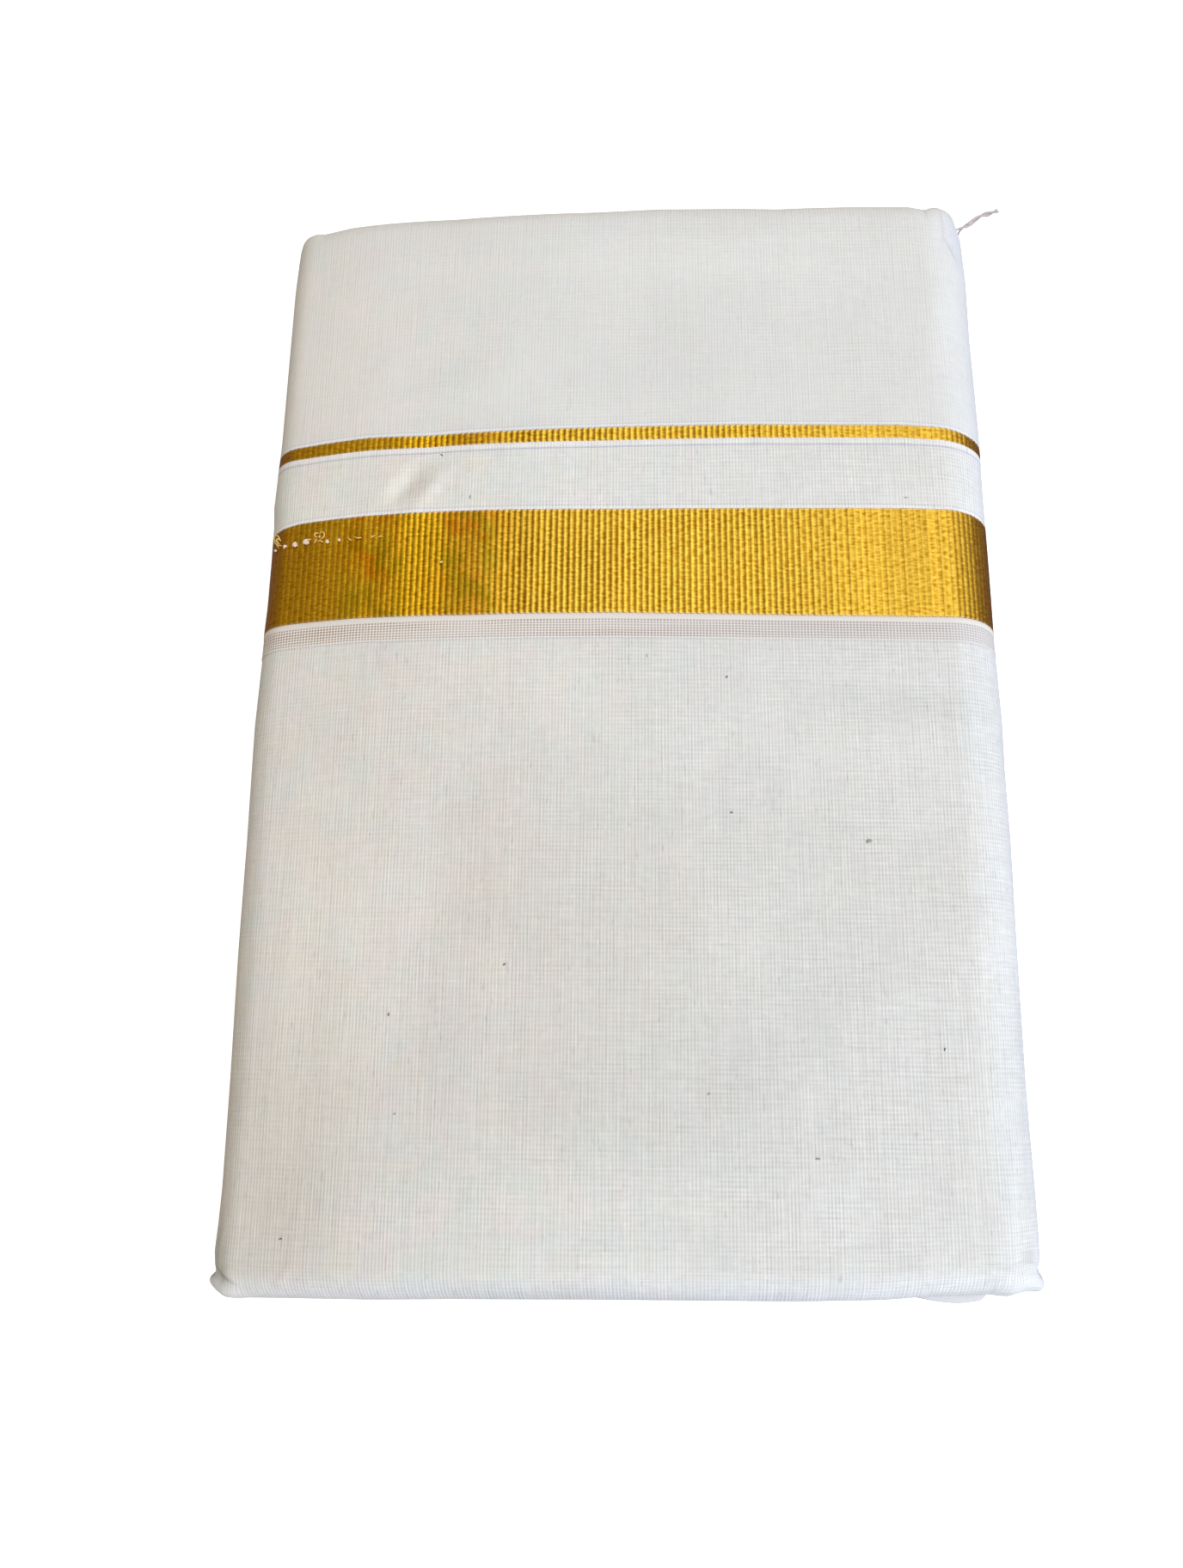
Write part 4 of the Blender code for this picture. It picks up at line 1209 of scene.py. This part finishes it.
def build_frays():
    """Pulled arches and dashes of gold yarn, tufts of white ground yarn and small nubs."""
    gold_parts, white_parts = [], []
    for index, fray in enumerate(FRAYS):
        size = fray.size * MM
        turn = math.radians(fray.turn)

        def at(along, across, height):
            """A point of this fray, in shares of its size."""
            x = fray.x + size * (along * math.cos(turn) - across * math.sin(turn))
            y = fray.y + size * (along * math.sin(turn) + across * math.cos(turn))
            return above(x, y, height * MM)

        if fray.kind == "arch":
            line = [at(-0.38, -0.5, 0.1), at(-0.36, 0.1, 0.5), at(-0.15, 0.46, 0.8),
                    at(0.18, 0.46, 0.8), at(0.36, 0.1, 0.5), at(0.42, -0.45, 0.1)]
            gold_parts.append(tube(curve_through(line, 26), 0.00024, 6, 0.2))
        elif fray.kind == "arc":
            line = [at(0.5 * math.cos(a), 0.5 * math.sin(a), 0.35 + 0.4 * math.sin(a / 1.4))
                    for a in np.linspace(0.0, math.radians(235), 7)]
            gold_parts.append(tube(curve_through(line, 24), 0.00022, 6, 0.3))
        elif fray.kind == "dash":
            line = [at(s, 0.10 * math.sin(5.0 * s + index), 0.15 + 0.45 * (1.0 - 4.0 * s * s))
                    for s in (-0.5, -0.2, 0.1, 0.3, 0.5)]
            gold_parts.append(tube(curve_through(line, 14), 0.00021, 6, 0.5))
        elif fray.kind == "nub":
            line = [at(s, 0.0, 0.3) for s in (-0.5, 0.0, 0.5)]
            gold_parts.append(tube(curve_through(line, 8), 0.00036, 8, 0.7))
        else:
            for strand in range(9):
                spread = (strand - 4) / 4.0
                reach = 1.0 - 0.25 * abs(spread) * (1.0 + 0.4 * math.sin(strand * 2.1 + index))
                line = [at(0.0, 0.06 * spread, 0.1),
                        at(0.45 * reach, 0.22 * spread, 0.6),
                        at(reach, 0.42 * spread - 0.12, 0.4 + 0.25 * math.sin(strand * 1.7 + index))]
                white_parts.append(tube(curve_through(line, 8), 0.00019, 5, 0.5))
    gold_yarn = plain("frayed_gold_yarn", (0.93, 0.66, 0.22, 1.0), 0.42, 0.35)
    show(joined("frayed_gold_loops", gold_parts, gold_yarn), slot="gold_yarn")
    tuft = plain("frayed_ground_yarn", (0.86, 0.72, 0.58, 1.0))
    show(joined("frayed_white_tufts", white_parts, tuft))


def build_flecks():
    """Bits of cotton seed and lint caught in the weave."""
    groups = {}
    for index, fleck in enumerate(FLECKS):
        base = surface_at(fleck.x, fleck.y, BODY_DEPTH if fleck.y < SELVEDGE_Y else UPPER_DEPTH)
        turn = math.radians(fleck.turn)
        way = np.array((math.cos(turn), math.sin(turn), 0.0)) * fleck.length * MM / 2
        side = np.array((-math.sin(turn), math.cos(turn), 0.0)) * fleck.width * MM * 0.3
        line = [base - way, base - 0.3 * way + side, base + 0.3 * way + side * 0.6, base + way]
        line = curve_through(line, 10) + np.array((0.0, 0.0, 0.00006))
        key = "dark" if fleck.dark > 0.5 else "pale"
        groups.setdefault(key, []).append(tube(line, fleck.width * MM * 0.36, 6, 0.6))
    show(joined("dark_seed_flecks", groups["dark"], plain("seed_husk", (0.13, 0.11, 0.11, 1.0))))
    show(joined("pale_lint_flecks", groups["pale"], plain("grey_lint", (0.36, 0.34, 0.33, 1.0))))


body = build_body()
flap = build_flap()
ribs = ribbed_section()
gap = build_strip("gap_cloth_look", "band_gap_cloth", WIDE_HIGH_Y, THIN_LOW_Y, 30, gap_depth,
                  gap_cotton, plain_section, "white_cotton")
strip = build_strip("selvedge_gauze", "selvedge_strip", SELVEDGE_Y, WIDE_LOW_Y, 22, gauze_depth,
                    gauze, plain_section, "sheer_cotton")
wide = build_strip("wide_zari_band", "wide_gold_band", WIDE_LOW_Y, WIDE_HIGH_Y, 18, rib_depth,
                   wide_gold, ribs, "gold_yarn")
add_crests(wide, ribs, 20)
thin = build_strip("thin_zari_band", "thin_gold_band", THIN_LOW_Y, THIN_HIGH_Y, 5, rib_depth,
                   thin_gold, ribs, "gold_yarn")
add_crests(thin, ribs, 7)
# Paint shade where the white cloth turns under at its folds
for white in (body, flap, gap):
    add_turned_shade(white)
turns = build_turns()
build_yarn()
build_frays()
build_flecks()


def build_studio():
    """A pale floor, soft light all round and a cool key from the right."""
    scene = bpy.context.scene
    mesh = bpy.data.meshes.new("floor")
    reach = 4.0
    mesh.from_pydata([(-reach, -reach, 0), (reach, -reach, 0), (reach, reach, 0), (-reach, reach, 0)],
                     [], [(0, 1, 2, 3)])
    floor = bpy.data.objects.new("floor", mesh)
    floor.location.z = -0.0004
    scene.collection.objects.link(floor)
    paper = bpy.data.materials.new("floor_paper")
    paper.use_nodes = True
    shader = paper.node_tree.nodes["Principled BSDF"]
    shader.inputs["Base Color"].default_value = (0.92, 0.92, 0.92, 1.0)
    shader.inputs["Roughness"].default_value = 0.9
    shader.inputs["Emission Color"].default_value = (1.0, 1.0, 1.0, 1.0)
    shader.inputs["Emission Strength"].default_value = FLOOR_GLOW
    mesh.materials.append(paper)
    floor.visible_glossy = False
    floor.visible_diffuse = False
    world = bpy.data.worlds.new("studio")
    world.use_nodes = True
    nodes, links = world.node_tree.nodes, world.node_tree.links
    place = nodes.new("ShaderNodeTexCoord")
    split = nodes.new("ShaderNodeSeparateXYZ")
    links.new(place.outputs["Generated"], split.inputs[0])
    shares = []
    for output, span in (("X", SKY_ACROSS), ("Y", SKY_ALONG), ("Z", SKY_UP)):
        share = nodes.new("ShaderNodeMapRange")
        share.interpolation_type = "SMOOTHSTEP"
        links.new(split.outputs[output], share.inputs[0])
        for socket, value in zip(share.inputs[1:5], span):
            socket.default_value = value
        shares.append(share.outputs[0])
    for share in shares[1:]:
        product = nodes.new("ShaderNodeMath")
        product.operation = "MULTIPLY"
        links.new(shares[0], product.inputs[0])
        links.new(share, product.inputs[1])
        shares[0] = product.outputs[0]
    mix = nodes.new("ShaderNodeMix")
    mix.data_type = "RGBA"
    mix.clamp_factor = False
    mix.inputs[6].default_value = SKY_DIM
    mix.inputs[7].default_value = SKY_BRIGHT
    links.new(shares[0], mix.inputs[0])
    links.new(mix.outputs[2], nodes["Background"].inputs[0])
    nodes["Background"].inputs[1].default_value = SKY_STRENGTH
    scene.world = world
    for name, place, size, power, colour in LAMPS:
        data = bpy.data.lights.new(name, "AREA")
        data.shape = "RECTANGLE"
        data.size, data.size_y = size
        data.energy = power
        data.color = colour
        lamp = bpy.data.objects.new(name, data)
        lamp.location = place
        lamp.visible_glossy = False
        lamp.rotation_euler = (Vector((0.0, 0.0, 0.02)) - Vector(place)).to_track_quat("-Z", "Y").to_euler()
        scene.collection.objects.link(lamp)
    data = bpy.data.cameras.new("photo_camera")
    data.lens = CAMERA_LENS
    data.sensor_width = SENSOR_WIDTH
    data.clip_start = 0.01
    camera = bpy.data.objects.new("photo_camera", data)
    rx, ry, rz = CAMERA_TURN
    turn = (Matrix.Rotation(rz, 4, "Z") @ Matrix.Rotation(rx, 4, "X") @ Matrix.Rotation(ry, 4, "Y"))
    camera.matrix_world = Matrix.Translation(CAMERA_PLACE) @ turn
    scene.collection.objects.link(camera)
    scene.camera = camera
    scene.view_settings.view_transform = "Standard"
    scene.view_settings.look = "None"


build_studio()
